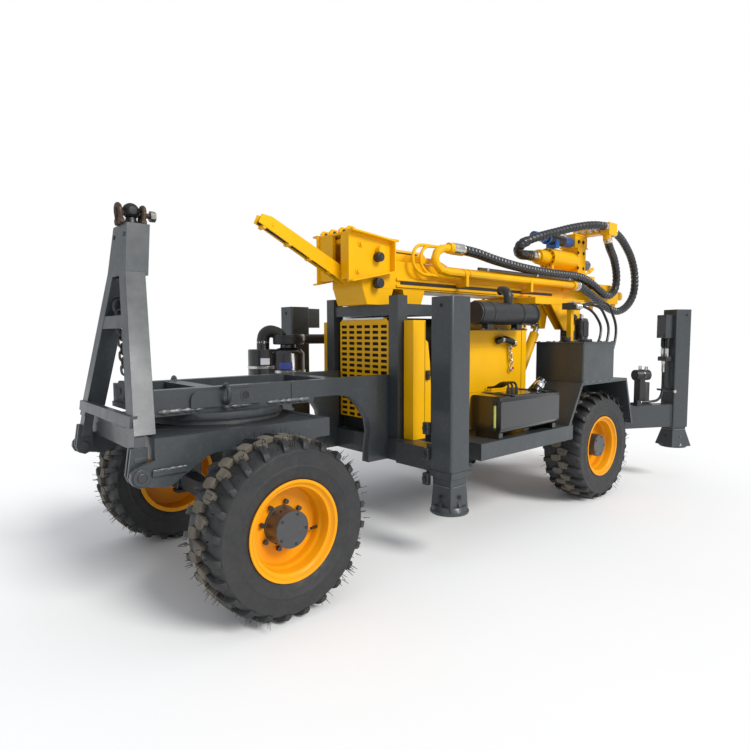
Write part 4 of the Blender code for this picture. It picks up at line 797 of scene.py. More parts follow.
def chain_link(centre, along, roll, length=0.040, width=0.026, wire=0.0045):
    """One oval link: along is the way the chain runs, roll turns the link about it."""
    straight = (length - width) / 2
    points = [Vector((width / 2 * math.cos(t), 0, straight + width / 2 * math.sin(t)))
              for t in (math.pi * k / 6 for k in range(7))]
    points += [Vector((-p.x, 0, -p.z)) for p in points]
    link = tube(points, wire, 8, closed=True)
    turn = facing(along.normalized()) @ Matrix.Rotation(roll, 4, "Z")
    bmesh.ops.transform(link, matrix=Matrix.Translation(centre) @ turn, verts=link.verts)
    return link


def chain(points, length=0.040, wire=0.0045):
    """Links threaded along a smooth line, each a quarter turn on from the last."""
    step = length - 2.4 * wire
    route = smooth(points, step)
    return [chain_link((a + b) / 2, b - a, k * math.pi / 2, length, length * 0.64, wire)
            for k, (a, b) in enumerate(zip(route, route[1:]))]


# The middle of the tow eye, in x and z
TOW_EYE = (0.393, 1.862)


def bowed():
    """A shackle's bow in the plane across X, from one pin eye over to the other."""
    over = [Vector((0, 0.030 * math.cos(t), 0.014 + 0.034 * math.sin(t)))
            for t in (math.pi * k / 10 for k in range(-1, 12))]
    return tube(smooth([Vector((0, 0.026, -0.026)), *over, Vector((0, -0.026, -0.026))], 0.008), 0.0115, 12)


class RIG_OT_drawbar(bpy.types.Operator):
    """Raised drawbar with its tow eye, two shackles and safety chain"""
    bl_idname = "rig.drawbar"
    bl_label = "Drawbar"

    def execute(self, context):
        edge = context.scene.rig_sizes.edge
        bar = dressed("drawbar", "grey", edge, "weld", "bolt", "rust")
        for side, _ in SIDES:
            bar.add(rod(*run("y", side * 0.487, side * 0.4935, FOLD_PIN), 0.019, 20, bevel=0.002), "bolt")
        bar.add(screw((0.4390, -0.020, 1.532), (0, 0, -1), 0.017, 0.014), "bolt")
        route = [(0.440, -0.072, 1.385), (0.440, -0.066, 1.345), (0.440, -0.054, 1.290),
                 (0.440, -0.039, 1.173), (0.438, -0.024, 1.084)]
        bar.add_all(chain(route, 0.050, 0.0062), "bolt")
        top_link = [Vector((0.440 + 0.020 * math.cos(t), -0.088, 1.410 + 0.034 * math.sin(t)))
                    for t in (math.pi * k / 10 for k in range(20))]
        bar.add(tube(top_link, 0.0075, 10, closed=True), "bolt")
        for y in (-0.074, 0.074):
            for z in (1.600, 1.735):
                bar.add(screw((0.4475, y, z), (1, 0, 0.05), 0.011, 0.008), "bolt")
        bar.done("drawbar")
        eye = Piece("tow_eye_and_shackles", "drawbar", "dark_steel", "rust", "bolt", "steel_grey")
        cx, cz = TOW_EYE
        eye.add(spun([(0.0, -0.036), (0.018, -0.034), (0.033, -0.022), (0.0385, -0.008), (0.0385, 0.008),
                      (0.033, 0.022), (0.018, 0.034), (0.0, 0.036)], (cx, 0.0, cz - 0.006), "y", 28))
        eye.add(rod((cx, 0.0, 1.786), (cx, 0.0, 1.832), 0.032, 24, 0.022, 0.004))
        eye.add(slab((cx - 0.044, -0.050, 1.7868), (cx + 0.044, 0.050, 1.7940), 0.003))
        for x, lean in ((cx + 0.056, 5), (cx - 0.050, -4)):
            turn = Matrix.Translation((x, 0.002, cz - 0.030)) @ Matrix.Rotation(math.radians(lean), 4, "Y")
            eye.add(bowed(), "rust", turn)
            for y in (-0.026, 0.026):
                eye.add(rod((-0.012, y, -0.030), (0.012, y, -0.030), 0.017, 14, bevel=0.002), "rust", turn)
            eye.add(rod((0, -0.046, -0.030), (0, 0.044, -0.030), 0.0085, 12), "rust", turn)
        eye.add(rod((cx + 0.050, 0.0, 1.846), (cx - 0.105, 0.004, 1.843), 0.0125, 14, bevel=0.002), "rust")
        eye.add(screw((cx - 0.086, 0.004, 1.843), (-1, 0, 0), 0.027, 0.026, False), "steel_grey")
        eye.done("tow_eye")
        return {"FINISHED"}


# Chassis

LEG_HOLE_Z = 1.424
LEG_PORT_X = -0.532
# An outrigger arm's upright pin: x, and y outwards
ARM_PIN = (-3.300, 0.580)
ARM_TURN = math.radians(-27.0)


def arm_place(side):
    """Where an outrigger's arm stands: its pin, turned outwards as parked."""
    pin = Matrix.Translation((ARM_PIN[0], side * ARM_PIN[1], 0.0))
    return pin @ Matrix.Rotation(side * ARM_TURN, 4, "Z")


class RIG_OT_chassis(bpy.types.Operator):
    """Gooseneck, main frame with side decks, and the portal that the mast lies on"""
    bl_idname = "rig.chassis"
    bl_label = "Chassis"

    def execute(self, context):
        edge = context.scene.rig_sizes.edge
        neck = dressed("neck_frame", "grey", edge, "weld", "satin", "bolt", "dark")
        for side, _ in SIDES:
            for x0, x1, seed in ((0.400, 0.180, 1), (0.090, -0.070, 2), (-0.160, -0.420, 3)):
                neck.add(bead(*run("x", x0, x1, (side * 0.2905, 0.9215)), 0.0100, 0.4, seed), "weld")
            # Painted shade: a thin black strip on the neck's side.
            neck.add(side_slab(side, (-0.3085, -0.3055), (0.2865, 0.2877), (0.930, 1.012)), "dark")
            neck.add(spun([(0.020, 0.0), (0.027, 0.0), (0.027, 0.0030), (0.020, 0.0030), (0.020, 0.0)],
                          (-0.028, side * 0.3015, 0.970), "y", 32, side))
            neck.add(rod(*run("y", side * 0.3010, side * 0.3022, (-0.028, 0.970)), 0.0205, 28), "satin")
            ring = [Vector((0.083, side * (0.323 + 0.032 * math.cos(t)), 0.985 + 0.046 * math.sin(t)))
                    for t in (2 * math.pi * k / 24 for k in range(24))]
            neck.add(tube(ring, 0.0100, 12, closed=True))
        neck.add_all(ring_of(24, (0, 0, 0.8995), 0.345, "z", (0, 0, -1), 0.0085, 0.007, 3), "bolt")
        neck.add(slab((0.418, -0.112, 0.955), (0.447, -0.036, 1.044), 0.006, 3))
        neck.add(screw((0.4475, -0.073, 0.995), (1, 0, 0), 0.014, 0.008))
        neck.done("neck_frame")
        plain("main_frame", "grey", edge * 0.8)
        plain("portal_frame", "grey", edge, "weld")
        return {"FINISHED"}


class RIG_OT_outriggers(bpy.types.Operator):
    """Four jack legs: tubes with collars, gussets, bolts and round feet"""
    bl_idname = "rig.outriggers"
    bl_label = "Outriggers"

    def execute(self, context):
        edge = context.scene.rig_sizes.edge
        for side, label in SIDES:
            leg = dressed("jack_leg_front_" + label, "grey", edge * 1.2, "weld", "bolt", "dark", "satin")
            # Painted shade: a thin black disc where the leg's hole is.
            leg.add(rod(*run("x", -0.9475, -0.9465, (side * 0.772, LEG_HOLE_Z)), 0.011, 20), "dark")
            for x, y in (((-1.108, -0.944), (0.690, 0.694)), ((-1.108, -0.944), (0.850, 0.854)),
                         ((-1.108, -1.104), (0.690, 0.854)), ((-0.948, -0.944), (0.690, 0.854))):
                leg.add(side_slab(side, x, y, (0.482, 0.516), 0.0015))
            for z in (0.746, 0.600, 0.459):
                leg.add(side_slab(side, (-0.960, -0.930), (0.652, 0.692), (z - 0.034, z + 0.034), 0.003))
                leg.add(screw((-0.9295, side * 0.672, z), (1, 0, 0), 0.014, 0.010), "bolt")
            leg.done("jack_leg_front_" + label)
        for side, label in SIDES:
            node = "outrigger_arm_" + label
            arm = dressed(node, "grey", edge * 1.2, "weld", "bolt", "satin", "zinc", "dark")
            turn = arm_place(side)
            for y in (-0.028, 0.022):
                arm.add(rod(*run("z", 1.138, 1.092, (LEG_PORT_X, y)), 0.0165, 6, bevel=0.001), "zinc", turn)
                arm.add(band(*run("z", 1.092, 1.066, (LEG_PORT_X, y)), 0.0150, 0.001), "zinc", turn)
                arm.add(rod(*run("z", 1.150, 1.225, (LEG_PORT_X, y)), 0.0175, 16, bevel=0.002), "satin", turn)
            port = (LEG_PORT_X, -0.015 * side)
            arm.add(rod(*run("z", 1.029, 1.000, port), 0.0175, 6, bevel=0.001), "zinc", turn)
            arm.add(band(*run("z", 1.000, 0.932, port), 0.0155, 0.0015), "zinc", turn)
            arm.add(slab((-0.572, -0.050, 1.0325), (-0.500, 0.050, 1.0655), 0.003), "satin", turn)
            for z in (1.245, 1.409):
                for y in (0.030, -0.045):
                    arm.add(screw((-0.4915, y, z), (1, 0, 0), 0.006, 0.004), "bolt", turn)
            arm.add(rod((-0.558, -0.105, 0.772), (-0.558, 0.100, 0.772), 0.0095, 12), "grey", turn)
            arm.add(screw((-0.558, 0.092, 0.772), (0, 1, 0), 0.015, 0.011, False), "zinc", turn)
            # Painted shade: thin black discs where the arm's holes are.
            for x in (-0.7235, -0.5665):
                arm.add(rod(*run("x", x, x + 0.001, (0.0, LEG_HOLE_Z)), 0.011, 20), "dark", turn)
            for y in (0.0775, -0.0790):
                arm.add(rod(*run("y", y, y + 0.0015, (-0.672, LEG_HOLE_Z)), 0.011, 20), "dark", turn)
            for y in (-0.0605, 0.0605):
                arm.add(bead(*run("z", 0.4640, 0.6540, (-0.566, y)), 0.0045, seed=8), "weld", turn)
            arm.add(bead(*run("y", -0.060, 0.060, (-0.566, 0.6575)), 0.0045, seed=9), "weld", turn)
            for z in (0.4500, 0.6675):
                arm.add(rod((0, 0, z), (0, 0, z + 0.004), 0.040, 24), "grey", turn)
            arm.add(screw((0, 0, 0.6885), (0, 0, 1), 0.026, 0.014), "bolt", turn)
            arm.done(node)
        for side, label in SIDES:
            front_place = Matrix.Translation((-1.026, side * 0.772, 0))
            rear_place = arm_place(side) @ Matrix.Translation((-0.645, 0, 0))
            for node, place, foot_radius in (("jack_foot_front_" + label, front_place, 0.074),
                                             ("jack_foot_rear_" + label, rear_place, 0.100)):
                shoe = dressed(node, "grey", 0.003, "satin", "bolt", "weld")
                shoe.add(flare((0, 0), 0.290, 0.432, foot_radius, 0.0665, 0.003), "grey", place)
                pad = [(0.0, 0.2795), (0.104, 0.2795), (0.1085, 0.2830), (0.1085, 0.2920), (0.1040, 0.2960),
                       (0.0, 0.2960)]
                shoe.add(spun(pad, (0, 0, 0), "z", 40), "grey", place)
                for turn in (0, 90, 180, 270):
                    spin = place @ Matrix.Rotation(math.radians(turn), 4, "Z")
                    shoe.add(screw((0.079, 0, 0.375), (1, 0, 0.3), 0.009, 0.006), "bolt", spin)
                    seam = run("y", -0.058, 0.058, (0.0675, 0.4340))
                    shoe.add(bead(*seam, 0.0035, seed=turn), "weld", spin)
                shoe.done(node)
        return {"FINISHED"}


# Bodywork

PANEL_Y = 0.4505
OIL_LID_Z = 1.2062
DUCT_Z = 1.235
# The muffler's axis runs along X: its y and z
MUFFLER = (0.565, 1.402)
# The air cleaners stand upright: x, y and radius
BIG_CAN = (-0.835, -0.575, 0.1185)
SMALL_CAN = (-0.700, -0.685, 0.1065)


def slotted_sheet(low_y, high_y, low_z, high_z, columns, rows, slot, depth, front):
    """A sheet across X with rows of round-ended slots, cut from a grid of cells."""
    shape = bmesh.new()
    bmesh.ops.create_grid(shape, x_segments=columns, y_segments=rows, size=0.5)
    wide, high = high_y - low_y, high_z - low_z
    bmesh.ops.scale(shape, vec=(wide, high, 1.0), verts=shape.verts)
    cell_w, cell_h = wide / columns, high / rows
    margin = (cell_h - slot[1]) / 2
    cells = list(shape.faces)
    bmesh.ops.inset_individual(shape, faces=cells, thickness=margin, depth=0.0, use_even_offset=True)
    squeeze = slot[0] / (cell_w - 2 * margin)
    for cell in cells:
        middle = cell.calc_center_median()
        bmesh.ops.scale(shape, vec=(squeeze, 1.0, 1.0), space=Matrix.Translation(-middle), verts=cell.verts)
    corners = [v for cell in cells for v in cell.verts]
    soften(shape, corners, slot[1] * 0.30, affect="VERTICES")
    full = slot[0] * slot[1]
    gone = [f for f in shape.faces if len(f.verts) > 8 and abs(f.calc_area() - full) < full * 0.3]
    bmesh.ops.delete(shape, geom=gone, context="FACES")
    made = bmesh.ops.extrude_face_region(shape, geom=list(shape.faces), use_keep_orig=True)["geom"]
    moved = [v for v in made if isinstance(v, bmesh.types.BMVert)]
    bmesh.ops.translate(shape, vec=(0, 0, depth), verts=moved)
    bmesh.ops.recalc_face_normals(shape, faces=shape.faces)
    turn = AXES["x"].to_4x4()
    place = Matrix.Translation((front - depth, (low_y + high_y) / 2, (low_z + high_z) / 2))
    bmesh.ops.transform(shape, matrix=place @ turn, verts=shape.verts)
    return shape


class RIG_OT_grille(bpy.types.Operator):
    """Slotted yellow grille over the cooler core, with the bright strip on top"""
    bl_idname = "rig.grille"
    bl_label = "Grille"

    def execute(self, context):
        grille = Piece("slotted_grille", "chassis", "yellow", "core", "zinc", "dark")
        front = -1.048
        low, high = 0.7155, 1.3360
        grille.add(slotted_sheet(-0.2400, 0.2400, low, high, 6, 17, (0.0580, 0.0205), 0.004, front))
        top = [(-0.2445, high), (0.2445, high), (0.2445, 1.350), (0.214, 1.3715), (-0.214, 1.3715),
               (-0.2445, 1.350)]
        grille.add(plate(top, "x", front - 0.004, front, 0.001))
        for side, _ in SIDES:
            edge = side_slab(side, (front - 0.018, front), (0.2400, 0.2448), (low, high + 0.004), 0.001)
            grille.add(edge)
        grille.add(slab((-1.0655, -0.236, low + 0.002), (front - 0.0090, 0.236, 1.345), 0.001), "core")
        for k in range(34):
            y = -0.231 + k * 0.014
            fin = slab((front - 0.0091, y - 0.0012, low + 0.004), (front - 0.0062, y + 0.0012, 1.343))
            grille.add(fin, "dark")
        grille.add(slab((front - 0.016, -0.206, 1.3716), (front + 0.006, 0.204, 1.3760), 0.0015), "zinc")
        grille.add(slab((front + 0.002, -0.206, 1.3620), (front + 0.006, 0.204, 1.3755), 0.0010), "zinc")
        grille.done("grille")
        return {"FINISHED"}


class RIG_OT_bodywork(bpy.types.Operator):
    """Engine bay, yellow side panels, cooler covers and rear wheel guards"""
    bl_idname = "rig.bodywork"
    bl_label = "Bodywork"

    def execute(self, context):
        for side, label in SIDES:
            panel = dressed("engine_panel_" + label, "yellow", 0.003, "dark", "bolt", "satin")
            # Painted shade: a thin black strip on the panel where its seam is, standing in for the shade in
            # the gap.
            gap = side_slab(side, (-2.1715, -2.1685), (PANEL_Y, PANEL_Y + 0.0012), (0.640, 1.350))
            panel.add(gap, "dark")
            for x in (-2.205, -1.335):
                for z in (0.690, 1.325):
                    panel.add(screw((x, side * PANEL_Y, z), (0, side, 0), 0.008, 0.005), "bolt")
            for z in (1.180, 0.880):
                panel.add(side_slab(side, (-2.140, -1.360), (0.4498, 0.4522), (z, z + 0.006), 0.001))
            panel.done("engine_panel_" + label)
            cover = dressed("cooler_cover_" + label, "yellow", 0.004, "dark", "satin", "bolt")
            latch = PANEL_Y + 0.016
            # Painted shade: a thin black strip on the cover where its seam is, standing in for the shade in
            # the gap.
            gap = side_slab(side, (-1.1600, -1.1580), (PANEL_Y, PANEL_Y + 0.0010), (0.660, 1.345))
            cover.add(gap, "dark")
            cover.add(side_slab(side, (-1.192, -1.166), (PANEL_Y, latch), (0.990, 1.048), 0.003), "satin")
            cover.add(screw((-1.179, side * latch, 1.019), (0, side, 0), 0.009, 0.006), "bolt")
            cover.done("cooler_cover_" + label)
        plain("engine_block", "satin", 0.006)
        for side, label in SIDES:
            guard = dressed("fender_" + label, "grey", 0.003, "weld", "bolt")
            for k in range(5):
                x = -2.450 - 0.095 * k
                guard.add(bead(*run("x", x, x - 0.045, (side * 0.7985, 0.9195)), 0.0050, 0.45, k), "weld")
            guard.done("fender_" + label)
        return {"FINISHED"}


class RIG_OT_tanks(bpy.types.Operator):
    """Fuel tank, oil tank, console, rear controls and the arm's pump"""
    bl_idname = "rig.tanks"
    bl_label = "Tanks"

    def execute(self, context):
        tank = dressed("fuel_tank", "black", 0.003, "sight", "chrome", "cable", "satin", "bolt")
        tank.add(rod(*run("z", 0.695, 0.842, (-1.4555, 0.755)), 0.0085, 14, bevel=0.001), "sight")
        for z in (0.690, 0.845):
            tank.add(slab((-1.462, 0.744, z - 0.009), (-1.444, 0.766, z + 0.009), 0.002), "satin")
        tank.add(rod((-1.969, 0.700, 0.880), (-2.005, 0.700, 0.908), 0.030, 24, 0.030, 0.002))
        tank.add(rod((-2.000, 0.700, 0.904), (-2.035, 0.700, 0.931), 0.036, 28, 0.033, 0.003), "chrome")
        for k, (dx, dy) in enumerate(((0.0, 0.0), (-0.030, 0.010), (0.026, -0.012))):
            route = [(-1.72 + dx, 0.690 + dy, 0.885), (-1.725 + dx, 0.690 + dy, 0.925),
                     (-1.745 + dx, 0.660 + dy, 0.950), (-1.770 + dx, 0.600 + dy, 0.945),
                     (-1.780 + dx, 0.540 + dy, 0.915), (-1.785 + dx, 0.468, 0.905)]
            tank.add(tube(smooth(route, 0.012), 0.0075, 10), "cable")
            tank.add(rod(route[0], route[1], 0.012, 6), "bolt")
        for x in (-1.60, -1.97):
            tank.add(slab((x - 0.022, 0.556, 0.8885), (x + 0.022, 0.790, 0.8935), 0.001), "satin")
        tank.done("fuel_tank")
        oil = dressed("oil_tank", "grey", 0.004, "bolt", "satin", "weld", "zinc", "yellow", "black")
        for across, along in (((-2.865, -2.74, -2.65, -2.56, -2.440), (0.425, 0.790)),
                              ((-2.865, -2.440), (0.52, 0.61, 0.70))):
            for x in across:
                for y in along:
                    oil.add(screw((x, y, OIL_LID_Z), (0, 0, 1), 0.009, 0.006), "bolt")
        oil.add(rod(*run("z", 1.206, 1.245, (-2.52, 0.60)), 0.036, 24, bevel=0.004), "satin")
        oil.add(rod(*run("z", 1.206, 1.226, (-2.80, 0.60)), 0.055, 28, bevel=0.003))
        for k in range(3):
            y = 0.410 + 0.035 * k
            oil.add(rod(*run("x", -2.9235, -2.902, (y, 1.488)), 0.0165, 6, bevel=0.001), "zinc")
            oil.add(rod(*run("x", -2.928, -2.905, (y + 0.090, 1.100)), 0.0165, 6, bevel=0.001), "zinc")
            oil.add(screw((-2.885 + 0.025 * k, y, 1.5142), (0, 0, 1), 0.011, 0.012), "zinc")
            elbow = [(-2.880 + 0.028 * k, y, z) for y, z in (
                (0.493, 1.500), (0.513, 1.500), (0.523, 1.486), (0.523, 1.466))]
            oil.add(tube(smooth(elbow, 0.006), 0.0095, 10), "zinc")
        oil.add(slab((-2.906, 0.384, 1.458), (-2.896, 0.506, 1.518), 0.002), "zinc")
        oil.add(slab((-2.880, 0.420, 1.206), (-2.838, 0.460, 1.462), 0.003), "yellow")
        oil.add(slab((-3.080, 0.405, OIL_LID_Z), (-2.878, 0.500, 1.2140), 0.002), "zinc")
        oil.add(slab((-3.070, 0.412, 1.2135), (-2.960, 0.492, 1.395), 0.022, 4), "black")
        oil.add(slab((-3.055, 0.490, 1.245), (-2.975, 0.498, 1.365), 0.006, 3), "satin")
        oil.add(rod(*run("z", 1.390, 1.432, (-3.015, 0.452)), 0.018, 6, bevel=0.002), "zinc")
        oil.done("oil_tank")
        console = dressed("control_console", "grey", 0.004, "satin", "red", "zinc", "bolt")
        knob = [(0.0, 1.262), (0.012, 1.265), (0.0175, 1.278), (0.0165, 1.296), (0.009, 1.308), (0.0, 1.310)]
        boot = [(0.0, 1.164), (0.021, 1.164), (0.017, 1.180), (0.012, 1.186), (0.0, 1.186)]
        for k in range(6):
            x = -2.90 + 0.055 * k
            console.add(spun(knob, (x, -0.727, 0.0), "z", 16), "red" if k in (0, 3) else "satin")
            console.add(spun(boot, (x, -0.704, 0.0), "z", 16), "satin")
        for k in range(3):
            gauge = run("z", 1.164, 1.173, (-2.86 + 0.11 * k, -0.600))
            console.add(rod(*gauge, 0.036, 28, bevel=0.002), "zinc")
        console.done("control_console")
        pump = dressed("arm_pump", "satin", 0.003, "bolt", "zinc", "black")
        place = arm_place(1) @ Matrix.Translation((-0.290, 0.0, 0.0))
        for x, way in ((0.0605, 1), (-0.0755, -1)):
            pump.add_all(ring_of(6, (x, 0, 0.912), 0.034, "x", (way, 0, 0), 0.0055, 0.005), "bolt", place)
        pump.add(rod(*run("x", 0.000, -0.030, (0, 0.912)), 0.0485, 28, bevel=0.002), "black", place)
        for x, y, top in ((-0.010, -0.020, 0.990), (-0.045, 0.012, 0.985)):
            pump.add(rod(*run("z", 0.955, top, (x, y)), 0.014, 6, bevel=0.001), "zinc", place)
        pump.add(band(*run("x", 0.036, 0.046, (0.056, 0.6863)), 0.0160, 0.001), "zinc", place)
        pump.done("arm_pump")
        return {"FINISHED"}


class RIG_OT_exhaust(bpy.types.Operator):
    """Muffler, air cleaners and their pipes"""
    bl_idname = "rig.exhaust"
    bl_label = "Exhaust and air cleaners"

    def execute(self, context):
        muffler = dressed("muffler", "satin", 0.003, "dark", "bolt", "rust", "red", "cable", "zinc")
        inlet = [(-1.837, 0.565, 1.468), (-1.837, 0.565, 1.520), (-1.850, 0.540, 1.552),
                 (-1.870, 0.500, 1.562), (-1.880, 0.470, 1.562)]
        muffler.add(tube(smooth(inlet, 0.012), 0.030, 20))
        for x in (-1.500, -2.100):
            muffler.add(collar(0.0740, 0.004, 0.0025, 0.0, (x, *MUFFLER), "x", 40))
        for x in (-1.545, -1.700, -1.870, -1.995):
            muffler.add(screw((x, 0.586, 1.3000), (0, 0, 1), 0.010, 0.008), "bolt")
        for x in (-1.62, -1.94):
            muffler.add(slab((x - 0.034, 0.538, 1.298), (x + 0.034, 0.592, 1.304), 0.001))
            muffler.add(collar(0.0738, 0.011, 0.0020, 0.001, (x, *MUFFLER), "x", 40))
        hose = [(-1.850, 0.468, 1.215), (-1.895, 0.486, 1.232), (-1.950, 0.494, 1.226),
                (-2.010, 0.488, 1.208), (-2.050, 0.468, 1.195)]
        muffler.add(tube(smooth(hose, 0.012), 0.022, 16), "cable")
        for x, z in ((-1.885, 1.229), (-2.020, 1.205)):
            muffler.add(band((x + 0.008, 0.486, z), (x - 0.008, 0.488, z), 0.0245, 0.001), "zinc")
        route = [(-1.995, 0.474, 1.188), (-2.005, 0.472, 1.150), (-2.012, 0.472, 1.100),
                 (-2.018, 0.472, 1.062)]
        muffler.add_all(chain(route, 0.034, 0.0042), "zinc")
        hook = [(x, 0.472, z) for x, z in (
            (-2.018, 1.058), (-2.020, 1.040), (-2.004, 1.022), (-2.020, 1.008), (-2.038, 1.018))]
        muffler.add(tube(smooth(hook, 0.005), 0.0058, 10), "zinc")
        muffler.add(tube([(-2.036, 0.472, 1.017), (-2.043, 0.472, 1.032)], 0.0078, 10), "red")
        muffler.done("muffler")
        cleaner = dressed("air_cleaners", "black", 0.004, "zinc", "satin", "bolt", "white", "marine")
        for (x, y, radius), high_band in ((BIG_CAN, 1.010), (SMALL_CAN, 1.040)):
            face = y + radius
            for z in (0.930, high_band):
                cleaner.add(collar(radius, 0.010, 0.003, 0.001, (x, y, z), "z", 44), "zinc")
                cleaner.add(rod(*run("x", x - 0.030, x + 0.030, (face + 0.006, z)), 0.005, 10), "zinc")
                clip = slab((x - 0.018, face, z - 0.012), (x - 0.008, face + 0.014, z + 0.012), 0.001)
                cleaner.add(clip, "zinc")
        for start, end, radius in (
                ((-0.930, -0.552, DUCT_Z), (-0.948, -0.548, DUCT_Z), 0.0365),
                ((-1.100, -0.514, DUCT_Z), (-1.118, -0.510, DUCT_Z), 0.0365),
                ((-0.7005, -0.685, 1.205), (-0.7015, -0.685, 1.224), 0.0445)):
            cleaner.add(band(start, end, radius, 0.001), "zinc")
        bend = [(-0.700, -0.685, 1.185), (-0.7015, -0.684, 1.235), (-0.712, -0.676, 1.272),
                (-0.745, -0.655, 1.290), (-0.790, -0.625, 1.272), (-0.800, -0.612, 1.250)]
        cleaner.add(tube(smooth(bend, 0.012), 0.0440, 24), "satin")
        duct = [(x, y, DUCT_Z) for x, y in (
            (-0.860, -0.570), (-0.930, -0.553), (-1.160, -0.500), (-1.284, -0.482))]
        cleaner.add(tube(duct, 0.0345, 24), "satin")
        cap = [(0.0, 1.262), (0.092, 1.264), (0.101, 1.258), (0.104, 1.246), (0.104, 1.204), (0.097, 1.198),
               (0.0, 1.198)]
        cleaner.add(spun(cap, (*BIG_CAN[:2], 0), "z", 44), "satin")
        cleaner.add(patch(BIG_CAN[:2], BIG_CAN[2], 28, 72, 1.030, 1.075), "marine")
        cleaner.add(patch(SMALL_CAN[:2], SMALL_CAN[2], 50, 84, 1.060, 1.105), "white")
        cleaner.done("air_cleaners")
        return {"FINISHED"}


# Mast and rotary head

MAST_Y = 0.1505
HEAD_Y = 0.1655
# The cradle's pin runs along Y: its x and z
CRADLE_PIN = (-3.150, 1.390)
# These run along X: y and z of each
TOP_TUBE = (0.050, 1.772)
SWIVEL = (0.0, 1.945)
MOTOR = (0.020, 2.115)
REAR_SHAFT = (0.0, 1.930)

